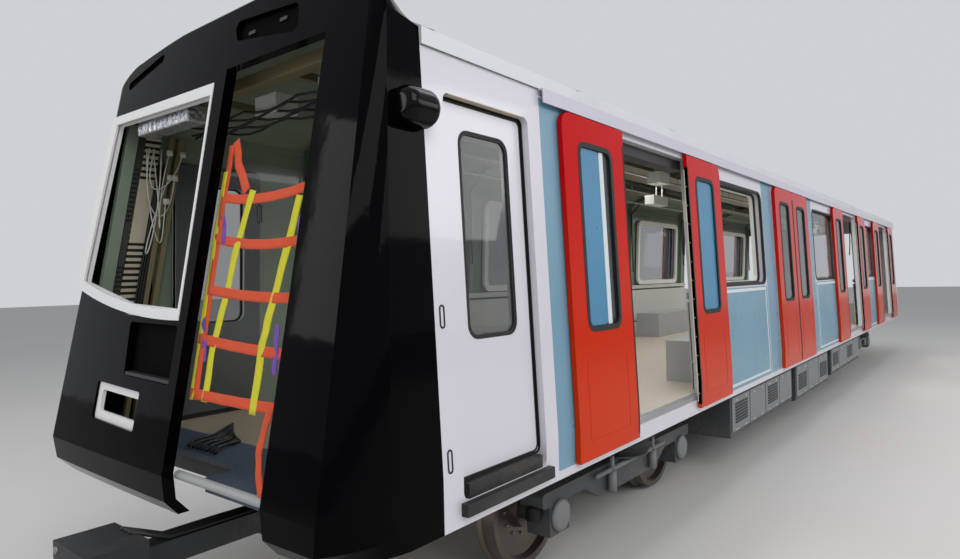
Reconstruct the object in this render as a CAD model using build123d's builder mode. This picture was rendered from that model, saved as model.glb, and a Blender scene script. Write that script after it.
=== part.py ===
from build123d import *
import os
from math import hypot, sqrt

# Driving cab car of a metro train, half fitted out: bare cab front, open saloon, outside-hung door leaves.
# X runs to the cab end, Y to the car's left side, Z up. Z = 0 is the tips of the wheel flanges.
# Sizes are in millimetres. Places along the car are X values from the middle of its length.

os.makedirs("parts", exist_ok=True)

# Body shell
BODY_REAR = -8720
WALL_FRONT = 8030
SKIN_HALF_WIDTH = 1420
WAIST = 1100
LEAN = 0.046
SKIN = 60
SILL = 850
CANTRAIL = 3080
GUTTER = 3160
GUTTER_HALF_WIDTH = 1343
ROOF_RISE = 360
ROOF_CROWN = GUTTER + ROOF_RISE
ROOF_SEAM = 850
ROOF_SHEET = 60
PANEL_JOINT = 0.3
FLOOR_TOP = 1000
FLOOR_THICK = 40
FLOOR_FRONT = 8230

# Cuts through the left wall start outside the skin and stop short of the middle line
SIDE_CUT_START = 2000
SIDE_CUT_DEPTH = 1300

# Doorways and their leaves, by centre. gap is half the clear opening at rest.
DOORWAYS = [
    {"name": "1", "x": 5490, "gap": 587},
    {"name": "2", "x": 1410, "gap": 3},
    {"name": "3", "x": -2670, "gap": 720},
    {"name": "4", "x": -6750, "gap": 720},
]
DOORWAY_WIDTH = 1400
DOORWAY_HEAD = 2960
LEAF_WIDTH = 800
LEAF_THICK = 32
LEAF_STAND_OFF = 8
LEAF_BOTTOM = 900
LEAF_TOP = 2990
LEAF_CORNER = 90
HANGER_INSET = 14
HANGER_THICK = 12
HANGER_EDGE = 150
HANGER_WIDTH = 100
HANGER_LAP = 60
RUNNER_FOOT = 3042.3
RUNNER_HEIGHT = 12
RUNNER_THICK = 20.5
TRACK = (9, 3030, 3042)
LEAF_WINDOW_EDGE = 190
LEAF_WINDOW = (430, 1670, 2825)
LEAF_WINDOW_CORNER = 70

# Side windows between the doorways
WINDOW_CENTRES = (3450, -630, -4710)
WINDOW_WIDTH = 1577
WINDOW_LOW = 1890
WINDOW_HIGH = 2865
WINDOW_CORNER = 90
PANE = 8
PANE_INSET = 20
UNGLAZED = 3450
FRAME_RING = 18
FRAME_BORDER = 40
FRAME_LIP = 25

# Cab side door
CAB_DOOR_REAR = 7180
CAB_DOOR_FRONT = 7890
DOORWAY_LOW = 965
CAB_DOOR_FOOT = 1042
CAB_DOOR_SILL = 1032
CAB_DOOR_HIGH = 2890
CAB_DOOR_THICK = 45
CAB_SILL_INSET = 41
CAB_DOOR_GAP = 12
CAB_DOOR_INSET = 50
HINGE_HEIGHTS = ((1300, 1420), (2500, 2620))
HINGE_OUT = 10
HINGE_PIN = 6
HINGE_BARREL = 11
HINGE_CLEARANCE = 0.3
HINGE_LUG = 12
HINGE_LUG_REACH = CAB_DOOR_INSET + CAB_DOOR_THICK + HINGE_OUT + HINGE_LUG - SKIN
HINGE_LUG_CLEAR = 8
HINGE_ARM = 40
HINGE_FINGER = 8
HINGE_BAR = 10
HINGE_BAR_FACE = HINGE_BAR / 2 - CAB_DOOR_INSET - CAB_DOOR_THICK - HINGE_OUT
CAB_DOORWAY_CORNER = 40
CAB_WINDOW = (7330, 7730, 1706, 2740)
CAB_WINDOW_CORNER = 70

# Cab front: the raked face passes RAKE_X at RAKE_Z
RAKE = 0.19
RAKE_X = 8607
RAKE_Z = 1460
BOW = 16
NOSE_SKIN = 60
# height, set back of the face, corner start along the side, half width, corner end across the face
NOSE_SECTIONS = [
    (850, 120, 8240, 1420, 1200),
    (930, 35, 8310, 1420, 1300),
    (1060, 0, 8350, 1420, 1330),
    (1100, 0, 8350, 1420, 1330),
    (3160, 0, 8230, 1325, 1250),
    (3760, 0, 8150, 1297, 1200),
]
NOSE_TOP_ROUND = 60
NOSE_TOP = ROOF_CROWN + 10
# the squarer brow of the mask: X where it stands, then its shoulder, hip and corner by Y and height
BROW_X = 8255
BROW_SHOULDER = (980, ROOF_CROWN - 40)
BROW_HIP = (1185, ROOF_CROWN - 92)
BROW_CORNER = 3290
FRONT_DOOR = (140, 970, 3160)
SCREEN_OUTER = [(-1250, 3130), (30, 3108), (62, 1820), (-560, 1838), (-1335, 2003)]
SCREEN_INNER = [(-1170, 3070), (12, 3040), (38, 1878), (-560, 1906), (-1245, 2041)]
SCREEN_CORNER = 12
PORT_OUTER = [(-785, 1450), (-236, 1430), (-245, 1222), (-785, 1242)]
PORT_INNER = [(-735, 1405), (-250, 1388), (-258, 1272), (-735, 1288)]
FLANGE_SET_BACK = 20
FLANGE_THICK = 22

# Recesses in the cab front, by corners across and up the face
LAMP_RECESS = [(-490, 1800), (60, 1790), (60, 1490), (-460, 1505)]
LAMP_DEPTH = 52
SIGN_RECESS = [(150, 3425), (720, 3380), (750, 3222), (200, 3305)]
SLOT_RECESS = [(-1160, 3350), (-600, 3462), (-680, 3392), (-1110, 3300)]
RECESS_DEPTH = 38

# Side pods: rear and front X, height
POD = (8012, 8215, 2765)
POD_STAND = 30
POD_RADIUS = 88
POD_ROUND = 50

# Roof units
ROOF_UNITS = (3450, -4710)
ROOF_WELL = (1960, 1120)
ROOF_UNIT_GAP = 12
ROOF_UNIT_LOW = ROOF_CROWN - 140
ROOF_UNIT_TOP = ROOF_CROWN + 60
ROOF_FAN_PITCH = 900
ROOF_FAN_RADIUS = 330

# Floor and rear end
FLOOR_HALF_WIDTH = SKIN_HALF_WIDTH - SKIN
GANGWAY_HALF_WIDTH = 650
GANGWAY_HEAD = 2960
BELLOWS_LENGTH = 300
BELLOWS_FOLDS = 6
BELLOWS_DEPTH = 130

# Body frames
FRAME_PLACES = (6690, 4515, 2385, 435, -1695, -3645, -5775, -7850)
FRAME_WIDTH = 60
FRAME_DEPTH = 55
BOW_FOOT = 3100
HANGER_HALF = 20

# Underframe and drawgear
SOLEBAR_WIDTH = 120
CROSS_MEMBERS = (-7300, -3500, -2500, -1500, -500, 500, 1500, 2500, 3500, 7300)
CROSS_LOW = 870
CROSS_HALF = 40
HEADSTOCK = 160
SILL_HALF = 150
POCKET_HALF = 130
POCKET_ROOM = 115
POCKET_PLATE = 30
BOLSTER_HALF = 350
PIVOT_RADIUS = 110
PIVOT_LOW = 500
CAB_SILL_FRONT = 8185
COUPLER_HEIGHT = 640
COUPLER_FACE = 9050
COUPLER_PIN = 35
DRAFT_PIVOT = 7850
DRAWBAR_BOLT_CIRCLE = 220
DRAWBAR_BOLT_RADIUS = 11

# Underfloor cases: rear X, front X, low Y, high Y, underside
UNDERFLOOR_CASES = [
    (1300, 3700, 420, 1300, 380),
    (-900, 1100, 420, 1300, 330),
    (-3700, -1150, 420, 1300, 380),
    (600, 3700, -1300, -420, 330),
    (-1500, 400, -1300, -420, 380),
    (-3700, -1750, -1300, -420, 330),
    (-2600, 2600, -260, 260, 520),
]
CASE_TOP = 800

# Doorway fittings
STEP_DEPTH = 40
CAB_STEP = (7160, 7910, 900, 960)
TIE_BAR_X = 8600
TIE_BAR_Z = 1050
TIE_BAR_HALF = 15
RAIL_REAR = -8600
RAIL_FRONT = 7060
RAIL_COVER = 8
RAIL_LOW = LEAF_TOP + 8
HEADER_DEPTH = 120
HEADER_LOW = 2880
HEADER_HEIGHT = 120

# Saloon
RISER_SET_IN = 70
RISER_DEPTH = 380
RISER_LENGTH = 1700
RISER_HEIGHT = 380
TRAY_REAR = -8400
TRAY_FRONT = 7000
TRAY_PLACE = 700
TRAY_LOW = ROOF_CROWN - 330
TRAY_HALF = 110
TRAY_SHEET = 8
TRAY_DEPTH = 60
DUCT_HALF = 240
DUCT_LOW = ROOF_CROWN - 320
DUCT_HEIGHT = 160
HANGERS = [
    {"y": -TRAY_PLACE, "foot": TRAY_LOW + TRAY_SHEET},
    {"y": 0, "foot": DUCT_LOW + DUCT_HEIGHT},
    {"y": TRAY_PLACE, "foot": TRAY_LOW + TRAY_SHEET},
]

# Wheels and bogies
WHEEL_TREAD = 392
WHEEL_FLANGE = 420
BOGIE_CENTRES = (5450, -5450)
WHEELBASE = 2100
WHEEL_BACK = 680
RIM_WIDTH = 135
AXLE_RADIUS = 85
JOURNAL_RADIUS = 62
JOURNAL_START = 880
AXLE_HALF = 1075
AXLE_CLEARANCE = 0.3
BEAM_PLACE = 980
BEAM_WIDTH = 180
BEAM_TOP = 600
BEAM_OUTLINE = [
    (-1250, 500), (-1250, 600), (-700, 600), (-600, 600), (600, 600), (700, 600), (1250, 600), (1250, 500),
    (700, 500), (480, 380), (-480, 380), (-700, 500),
]
AIR_SPRING_PLACE = 980
AIR_SPRING_RADIUS = 230
AIR_SPRING_TOP = 860
TRANSOM_PLACE = 260
TRANSOM_LOW = 420
TRANSOM_HEIGHT = 160
TRANSOM_HALF = 70
PIVOT_BLOCK = 200
AXLEBOX_HALF = 120
MOTOR_PLACE = 440
MOTOR_HEIGHT = 450
MOTOR_RADIUS = 170
MOTOR_LENGTH = 560
MOTOR_OFFSET = 150
GEAR_OFFSET = 210
GEAR_RADIUS = 130
GEAR_WIDTH = 160

# Straps of the doorway net, by the two ends of each, across the face and up
NET_UPRIGHTS = [
    [(455, 2471), (302, 1420)],
    [(857, 2406), (726, 1405)],
    [(185, 2744), (215, 1422)],
]
NET_CROSSES = [
    [(190, 2450), (990, 2450)],
    [(195, 2240), (990, 2196)],
    [(200, 1975), (990, 1932)],
    [(200, 1725), (990, 1685)],
    [(200, 1450), (990, 1449)],
]
STRAP_WIDTH = 50
STRAP_THICK = 4
NET_SET_BACK = 69.8


def skin_at(height):
    """Half width of the body skin: upright to the waist, then leaning in."""
    return SKIN_HALF_WIDTH - LEAN * max(0, height - WAIST)


def roof_corner(inset):
    """Half width and height where the roof's arc meets the wall, for a profile moved in by inset."""
    height = GUTTER - inset / 2
    return skin_at(height) - inset, height


def roof_arc(inset, y):
    """Height at Y of the roof's single arc, moved in by inset."""
    half_chord, height = roof_corner(inset)
    rise = ROOF_CROWN - inset - height
    radius = (half_chord**2 + rise**2) / (2 * rise)
    return height + rise - radius + sqrt(radius**2 - y**2)


def bow_underside(y):
    """Height of the roof bows' lower edge at Y."""
    return roof_arc(ROOF_SHEET + FRAME_DEPTH, y)


def face_at(height):
    """X of the raked cab front on the car's middle line."""
    return RAKE_X - RAKE * (height - RAKE_Z)


def lean_points(outside, thick, low, high):
    """Section of a slab that lies along the left wall, its outer face `outside` of the skin."""
    heights = [low] + [WAIST] * (low < WAIST < high) + [high]
    outer = [(skin_at(z) + outside, z) for z in heights]
    inner = [(skin_at(z) + outside - thick, z) for z in reversed(heights)]
    return outer + inner


def wall_slab(outside, thick, low, high, start, end, mode=Mode.ADD):
    """Slab along the left wall from X start to X end."""
    with BuildSketch(Plane.YZ.offset(start)) as section:
        with BuildLine():
            Polyline(*lean_points(outside, thick, low, high), close=True)
        make_face()
    extrude(section.sketch, amount=end - start, mode=mode)


def side_cut(x_low, x_high, z_low, z_high, corner, mode=Mode.SUBTRACT):
    """Rounded rectangle in side view, taken through the left wall."""
    centre = ((x_low + x_high) / 2, (z_low + z_high) / 2)
    with BuildSketch(Plane.XZ.offset(-SIDE_CUT_START)) as outline:
        with Locations(centre):
            RectangleRounded(x_high - x_low, z_high - z_low, corner)
    extrude(outline.sketch, amount=SIDE_CUT_DEPTH, mode=mode)


def arch_cut(x_low, x_high, z_low, z_high, corner, mode=Mode.SUBTRACT):
    """Doorway shape in side view, rounded at its two upper corners only, taken through the left wall."""
    with BuildSketch(Plane.XZ.offset(-SIDE_CUT_START)) as outline:
        with Locations(((x_low + x_high) / 2, (z_low + z_high) / 2)):
            Rectangle(x_high - x_low, z_high - z_low)
        fillet(outline.vertices().group_by(Axis.Y)[-1], corner)
    extrude(outline.sketch, amount=SIDE_CUT_DEPTH, mode=mode)


def box_between(corner, opposite, mode=Mode.ADD):
    """Box from one corner to the opposite one."""
    middle = tuple((a + b) / 2 for a, b in zip(corner, opposite))
    with Locations(middle):
        Box(*[abs(b - a) for a, b in zip(corner, opposite)], mode=mode)


def hinge_plane(height):
    """Plane square to the left cab door's hinge line, which leans with the wall."""
    hinge_y = SKIN_HALF_WIDTH - CAB_DOOR_INSET - CAB_DOOR_THICK - HINGE_OUT
    origin = (CAB_DOOR_REAR + CAB_DOOR_GAP - 2, hinge_y - LEAN * (height - WAIST), height)
    return Plane(origin=origin, x_dir=(1, 0, 0), z_dir=(0, -LEAN, 1))


def write(solid, name):
    """Label a finished piece and write it as its own file."""
    solid.label = name
    export_step(solid, f"parts/{name}.step")


def hull_face(x, inset, low, brow=False):
    """Cross-section of the body at X, moved in by inset, its foot at height low; brow squares its top."""
    edge, corner = roof_corner(inset)
    if brow:
        corner = BROW_CORNER - inset / 2
        edge = skin_at(corner) - inset
        shoulder = (BROW_SHOULDER[0] - 0.1 * inset, BROW_SHOULDER[1] - inset)
        hip = (BROW_HIP[0] - 0.6 * inset, BROW_HIP[1] - 0.8 * inset)
    else:
        shoulder = (ROOF_SEAM, roof_arc(inset, ROOF_SEAM))
        middle = (ROOF_SEAM + edge) / 2
        hip = (middle, roof_arc(inset, middle))
    foot = skin_at(low) - inset
    waist = [(foot, WAIST)] if low < WAIST else []
    left = [(edge, corner)] + waist + [(foot, low)]
    right = [(-y, z) for y, z in reversed(left)]
    with BuildSketch(Plane.YZ.offset(x)) as section:
        with BuildLine():
            ThreePointArc((-shoulder[0], shoulder[1]), (0, ROOF_CROWN - inset), shoulder)
            ThreePointArc(shoulder, hip, (edge, corner))
            Polyline(*left, *right)
            ThreePointArc((-edge, corner), (-hip[0], hip[1]), (-shoulder[0], shoulder[1]))
        make_face()
    return section.sketch


# Roof: a crown panel and two shoulder panels down to the cantrail, with two wells for the roof units
with BuildPart() as roof:
    edge = GUTTER_HALF_WIDTH
    with BuildSketch(Plane.YZ.offset(BODY_REAR)) as roof_outside:
        with BuildLine():
            ThreePointArc((-edge, GUTTER), (0, ROOF_CROWN), (edge, GUTTER))
            Polyline((edge, GUTTER), (edge, CANTRAIL), (-edge, CANTRAIL), (-edge, GUTTER))
        make_face()
    extrude(amount=WALL_FRONT - BODY_REAR)
    inside = hull_face(BODY_REAR, ROOF_SHEET, CANTRAIL - 100)
    extrude(inside, amount=WALL_FRONT - BODY_REAR, mode=Mode.SUBTRACT)
    for centre in ROOF_UNITS:
        box_between(
            (centre - ROOF_WELL[0] / 2, -ROOF_WELL[1] / 2, ROOF_CROWN - 400),
            (centre + ROOF_WELL[0] / 2, ROOF_WELL[1] / 2, ROOF_CROWN + 100),
            Mode.SUBTRACT,
        )
    for side in (-1, 1):
        seam = side * ROOF_SEAM
        box_between(
            (BODY_REAR, seam - PANEL_JOINT / 2, CANTRAIL), (WALL_FRONT, seam + PANEL_JOINT / 2, ROOF_CROWN),
            Mode.SUBTRACT,
        )
write(roof.part, "roof")

# Roof units: a casing in each well, with two fan rings on top
with BuildPart() as roof_units:
    for centre in ROOF_UNITS:
        half_length = ROOF_WELL[0] / 2
        half_width = ROOF_WELL[1] / 2 - ROOF_UNIT_GAP
        box_between(
            (centre - half_length, -half_width, ROOF_UNIT_LOW),
            (centre + half_length, half_width, ROOF_UNIT_TOP),
        )
        for side in (-1, 1):
            fan = (centre + side * ROOF_FAN_PITCH / 2, 0, ROOF_UNIT_TOP)
            with Locations(fan):
                Cylinder(ROOF_FAN_RADIUS + 25, 24)
                Cylinder(ROOF_FAN_RADIUS, 120, mode=Mode.SUBTRACT)
                Cylinder(90, 40, align=(Align.CENTER, Align.CENTER, Align.CENTER))
                for turn in range(4):
                    with Locations(Rotation(0, 0, 45 * turn)):
                        Box(2 * ROOF_FAN_RADIUS + 20, 26, 16)
write(roof_units.part, "roof_units")


def brow_envelope(inset):
    """Room for the nose: the body's section at the wall, ruled to the squarer brow, then straight on."""
    low = SILL - inset
    with BuildPart() as envelope:
        loft([hull_face(WALL_FRONT, inset, low), hull_face(BROW_X, inset, low, True)], ruled=True)
        extrude(hull_face(BROW_X, inset, low, True), amount=COUPLER_FACE - BROW_X)
    return envelope.part


def nose_solid(inset):
    """Cab nose as one solid, moved in by inset: plan sections joined by straight-ruled faces."""
    envelope = brow_envelope(inset)
    with BuildPart() as nose:
        for z, set_back, corner_x, half, corner_y in NOSE_SECTIONS:
            front = face_at(z) - set_back - inset
            side_y = half - inset
            end_y = corner_y - inset
            start_x = corner_x - inset
            bend = (start_x + 0.62 * (front - BOW - start_x), end_y + 0.62 * (side_y - end_y))
            with BuildSketch(Plane.XY.offset(z)):
                with BuildLine():
                    rear = [(WALL_FRONT, side_y), (WALL_FRONT, -side_y)]
                    Polyline((start_x, side_y), *rear, (start_x, -side_y))
                    ThreePointArc((start_x, -side_y), (bend[0], -bend[1]), (front - BOW, -end_y))
                    ThreePointArc((front - BOW, -end_y), (front, 0), (front - BOW, end_y))
                    ThreePointArc((front - BOW, end_y), bend, (start_x, side_y))
                make_face()
        loft(ruled=True)
        add(envelope, mode=Mode.INTERSECT)
        top = NOSE_TOP - inset
        with BuildSketch(Plane.XZ) as side_view:
            with BuildLine():
                Polyline(
                    (WALL_FRONT, SILL - 100),
                    (face_at(SILL - 100) + 5 - inset, SILL - 100),
                    (face_at(top) + 5 - inset, top),
                    (WALL_FRONT, top),
                    close=True,
                )
            make_face()
            fillet(side_view.vertices().group_by(Axis.Y)[-1].sort_by(Axis.X)[-1], NOSE_TOP_ROUND)
        extrude(amount=SKIN_HALF_WIDTH + 100, both=True, mode=Mode.INTERSECT)
    return nose.part


# The raked plane of the cab front: its own Y runs up the face
FACE = Plane(origin=(RAKE_X, 0, RAKE_Z), x_dir=(0, 1, 0), z_dir=(1, 0, RAKE))


def on_face(points):
    """Places on the raked plane of points given by Y and height."""
    return [(y, (z - RAKE_Z) * hypot(1, RAKE)) for y, z in points]


def face_cut(points, corner, start, depth, mode=Mode.SUBTRACT):
    """Four-cornered shape on the cab face, taken from start behind the plane to depth behind it."""
    with BuildSketch(FACE.offset(-start)) as outline:
        with BuildLine():
            Polyline(*on_face(points), close=True)
        make_face()
        fillet(outline.vertices(), corner)
    extrude(outline.sketch, amount=start - depth, mode=mode)


# Cab mask: the black front shell with its screen, doorway, port and recesses
nose_outside = nose_solid(0)
nose_inside = nose_solid(NOSE_SKIN)
with BuildPart() as mask:
    add(nose_outside)
    add(nose_inside, mode=Mode.SUBTRACT)
    face_cut(SCREEN_OUTER, SCREEN_CORNER, -60, 200)
    face_cut(PORT_OUTER, 15, -60, 200)
    face_cut(LAMP_RECESS, 20, -60, LAMP_DEPTH)
    face_cut(SIGN_RECESS, 40, -60, RECESS_DEPTH)
    face_cut(SLOT_RECESS, 25, -60, RECESS_DEPTH)
    door_low, door_high, door_head = FRONT_DOOR
    box_between((WALL_FRONT + 60, door_low, 700), (9000, door_high, door_head), Mode.SUBTRACT)
write(mask.part, "cab_mask")

# White flanges left bare round the windscreen and the lamp port
with BuildPart() as flanges:
    face_cut(SCREEN_OUTER, SCREEN_CORNER, FLANGE_SET_BACK, FLANGE_SET_BACK + FLANGE_THICK, Mode.ADD)
    face_cut(SCREEN_INNER, SCREEN_CORNER, 0, 100)
    face_cut(PORT_OUTER, 15, FLANGE_SET_BACK, FLANGE_SET_BACK + FLANGE_THICK, Mode.ADD)
    face_cut(PORT_INNER, 15, 0, 100)
write(flanges.part, "screen_flanges")

# Side pods: a round camera housing on each side of the mask
with BuildPart() as pods:
    pod_rear, pod_front, pod_height = POD
    pod_centre = (pod_rear, skin_at(pod_height) + POD_STAND, pod_height)
    with BuildSketch(Plane(origin=pod_centre, z_dir=(1, 0, 0))):
        Circle(POD_RADIUS)
    extrude(amount=pod_front - pod_rear)
    fillet(pods.edges().filter_by(GeomType.CIRCLE), POD_ROUND)
    wall_slab(0, 400, pod_height - 200, pod_height + 200, pod_rear - 50, pod_front + 50, Mode.SUBTRACT)
    mirror(about=Plane.XZ)
write(pods.part, "side_pods")


# Side walls: leaning panels between the doorways, over one sill strip and under one cantrail strip
with BuildPart() as wall:
    wall_slab(0, SKIN, SILL, CANTRAIL, BODY_REAR, WALL_FRONT)
    for door in DOORWAYS:
        reach = DOORWAY_WIDTH / 2
        box_between(
            (door["x"] - reach, SKIN_HALF_WIDTH - 4 * SKIN, DOORWAY_LOW),
            (door["x"] + reach, SKIN_HALF_WIDTH + SKIN, DOORWAY_HEAD),
            Mode.SUBTRACT,
        )
    for centre in WINDOW_CENTRES:
        reach = WINDOW_WIDTH / 2
        side_cut(centre - reach, centre + reach, WINDOW_LOW, WINDOW_HIGH, WINDOW_CORNER)
    side_cut(CAB_DOOR_REAR, CAB_DOOR_FRONT, DOORWAY_LOW, CAB_DOOR_HIGH, CAB_DOORWAY_CORNER)
    lug_start, pin_x = CAB_DOOR_REAR - HINGE_ARM, hinge_plane(WAIST).origin.X
    for low, high in HINGE_HEIGHTS:
        for foot in (low - HINGE_LUG, high):
            top = foot + HINGE_LUG
            wall_slab(-SKIN, HINGE_LUG_REACH, foot, top, lug_start, pin_x - HINGE_LUG_CLEAR)
            wall_slab(HINGE_BAR_FACE, HINGE_BAR, foot, top, lug_start, pin_x)
            with BuildSketch(hinge_plane(foot)) as finger:
                Circle(HINGE_FINGER)
            extrude(finger.sketch, amount=HINGE_LUG)
    for low, high in HINGE_HEIGHTS:
        with BuildSketch(hinge_plane(low - 10)) as pin:
            Circle(HINGE_PIN)
        extrude(pin.sketch, amount=high - low + 20)
    for seam in (DOORWAY_LOW, DOORWAY_HEAD):
        low, high = seam - PANEL_JOINT / 2, seam + PANEL_JOINT / 2
        wall_slab(10, SKIN + 20, low, high, BODY_REAR, WALL_FRONT, Mode.SUBTRACT)
write(wall.part, "side_wall_left")
with BuildPart() as wall_right:
    add(mirror(wall.part, about=Plane.XZ, mode=Mode.PRIVATE))
write(wall_right.part, "side_wall_right")

# Floor plate over the whole inside
with BuildPart() as floor:
    box_between(
        (BODY_REAR + SKIN, -FLOOR_HALF_WIDTH, FLOOR_TOP - FLOOR_THICK),
        (FLOOR_FRONT, FLOOR_HALF_WIDTH, FLOOR_TOP),
    )
write(floor.part, "floor")

# Rear end wall with the gangway opening
with BuildPart() as rear_end:
    extrude(hull_face(BODY_REAR, ROOF_SHEET, FLOOR_TOP - FLOOR_THICK), amount=SKIN)
    box_between(
        (BODY_REAR - 100, -GANGWAY_HALF_WIDTH, FLOOR_TOP),
        (BODY_REAR + 200, GANGWAY_HALF_WIDTH, GANGWAY_HEAD),
        Mode.SUBTRACT,
    )
write(rear_end.part, "rear_end")

# Gangway bellows: square folds round the opening, flat on the end wall
with BuildPart() as bellows:
    fold = BELLOWS_LENGTH / BELLOWS_FOLDS
    for number in range(BELLOWS_FOLDS):
        for start, grow, length in ((0, 0, 0.5), (0.5, BELLOWS_DEPTH / 3, 0.5)):
            with BuildSketch(Plane.YZ.offset(BODY_REAR - (number + start) * fold)) as ring:
                with Locations((0, (FLOOR_TOP + GANGWAY_HEAD) / 2)):
                    RectangleRounded(
                        2 * (GANGWAY_HALF_WIDTH + BELLOWS_DEPTH - grow),
                        GANGWAY_HEAD - FLOOR_TOP + 2 * (BELLOWS_DEPTH - grow),
                        180,
                    )
                    Rectangle(2 * GANGWAY_HALF_WIDTH, GANGWAY_HEAD - FLOOR_TOP, mode=Mode.SUBTRACT)
            extrude(ring.sketch, amount=-length * fold)
write(bellows.part, "gangway_bellows")

# Body frames at the piers between openings: a pillar on each side, a roof bow, hangers for trays and duct
with BuildPart() as frames:
    for centre in FRAME_PLACES:
        for side in (-1, 1):
            points = [(side * y, z) for y, z in lean_points(-SKIN, FRAME_DEPTH, FLOOR_TOP, BOW_FOOT)]
            with BuildSketch(Plane.YZ.offset(centre - FRAME_WIDTH / 2)) as pillar:
                with BuildLine():
                    Polyline(*points, close=True)
                make_face()
            extrude(pillar.sketch, amount=FRAME_WIDTH)
        bow_start = centre - FRAME_WIDTH / 2
        extrude(hull_face(bow_start, ROOF_SHEET, BOW_FOOT), amount=FRAME_WIDTH)
        inside = hull_face(bow_start, ROOF_SHEET + FRAME_DEPTH, BOW_FOOT - 100)
        extrude(inside, amount=FRAME_WIDTH, mode=Mode.SUBTRACT)
        for hanger in HANGERS:
            y = hanger["y"]
            top = bow_underside(abs(y) + HANGER_HALF) + HANGER_HALF
            box_between(
                (centre - HANGER_HALF, y - HANGER_HALF, hanger["foot"] + PANEL_JOINT),
                (centre + HANGER_HALF, y + HANGER_HALF, top),
            )
write(frames.part, "body_frames")

# Underframe: solebars, cross members, bolsters with pivot pins, centre sills, headstocks, draft pockets
with BuildPart() as underframe:
    frame_top = FLOOR_TOP - FLOOR_THICK
    solebar_inner = FLOOR_HALF_WIDTH - SOLEBAR_WIDTH
    span = solebar_inner - PANEL_JOINT
    for side in (-1, 1):
        box_between(
            (BODY_REAR + SKIN, side * solebar_inner, SILL),
            (CAB_SILL_FRONT, side * FLOOR_HALF_WIDTH, frame_top),
        )
    for place in CROSS_MEMBERS:
        box_between((place - CROSS_HALF, -span, CROSS_LOW), (place + CROSS_HALF, span, frame_top))
    for place in BOGIE_CENTRES:
        box_between((place - BOLSTER_HALF, -span, CROSS_LOW), (place + BOLSTER_HALF, span, frame_top))
        with Locations((place, 0, PIVOT_LOW)):
            Cylinder(PIVOT_RADIUS, CROSS_LOW - PIVOT_LOW, align=(Align.CENTER, Align.CENTER, Align.MIN))
    for end, reach in ((1, CAB_SILL_FRONT), (-1, BODY_REAR + SKIN)):
        stock = reach - end * HEADSTOCK
        sill_start = end * (CROSS_MEMBERS[-1] + CROSS_HALF + PANEL_JOINT)
        box_between(
            (sill_start, -SILL_HALF, CROSS_LOW), (stock - end * PANEL_JOINT, SILL_HALF, frame_top)
        )
        box_between((stock, -span, SILL), (reach, span, frame_top))
        rear = end * DRAFT_PIVOT - POCKET_HALF
        front = end * DRAFT_PIVOT + POCKET_HALF
        roof_low = COUPLER_HEIGHT + POCKET_ROOM
        box_between((rear, -SILL_HALF, roof_low), (front, SILL_HALF, CROSS_LOW - PANEL_JOINT))
        floor_low = COUPLER_HEIGHT - POCKET_ROOM - POCKET_PLATE
        box_between((rear, -SILL_HALF, floor_low), (front, SILL_HALF, floor_low + POCKET_PLATE))
        back = end * (DRAFT_PIVOT - POCKET_HALF)
        box_between(
            (back, -SILL_HALF, floor_low),
            (back + end * POCKET_PLATE, SILL_HALF, roof_low + POCKET_PLATE),
        )
    with Locations((DRAFT_PIVOT, 0, COUPLER_HEIGHT)):
        Cylinder(COUPLER_PIN, 2 * POCKET_ROOM + 20)
write(underframe.part, "underframe")

# Underfloor cases hung below the cross members
with BuildPart() as cases:
    for x_low, x_high, y_low, y_high, case_low in UNDERFLOOR_CASES:
        box_between((x_low, y_low, case_low), (x_high, y_high, CASE_TOP))
    fillet(cases.edges().filter_by(Axis.X).group_by(Axis.Z)[0], 30)
    for x_low, x_high, y_low, y_high, case_low in UNDERFLOOR_CASES:
        for x in [place for place in CROSS_MEMBERS if x_low + 40 < place < x_high - 40]:
            for y in (y_low + 100, y_high - 160):
                box_between((x - 30, y, CASE_TOP - 10), (x + 30, y + 60, CROSS_LOW))
write(cases.part, "underfloor_cases")

# Thresholds: a ribbed plate in each side doorway, and the cab steps
with BuildPart() as thresholds:
    for side in (-1, 1):
        for door in DOORWAYS:
            y_low, y_high = sorted((side * FLOOR_HALF_WIDTH, side * (SKIN_HALF_WIDTH + 2)))
            reach = DOORWAY_WIDTH / 2 - 2
            box_between((door["x"] - reach, y_low, DOORWAY_LOW), (door["x"] + reach, y_high, FLOOR_TOP))
write(thresholds.part, "thresholds")

with BuildPart() as steps:
    for side in (-1, 1):
        y_low, y_high = sorted((side * SKIN_HALF_WIDTH, side * (SKIN_HALF_WIDTH + STEP_DEPTH)))
        box_between((CAB_STEP[0], y_low, CAB_STEP[2]), (CAB_STEP[1], y_high, CAB_STEP[3]))
        y_sill = side * FLOOR_HALF_WIDTH
        box_between(
            (CAB_DOOR_REAR + CAB_SILL_INSET, y_sill, DOORWAY_LOW),
            (CAB_DOOR_FRONT - CAB_SILL_INSET, side * SKIN_HALF_WIDTH, CAB_DOOR_SILL),
        )
    box_between(
        (TIE_BAR_X - TIE_BAR_HALF, FRONT_DOOR[0], TIE_BAR_Z - TIE_BAR_HALF),
        (TIE_BAR_X + TIE_BAR_HALF, FRONT_DOOR[1], TIE_BAR_Z + TIE_BAR_HALF),
    )
write(steps.part, "cab_steps_and_tie_bar")

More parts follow.
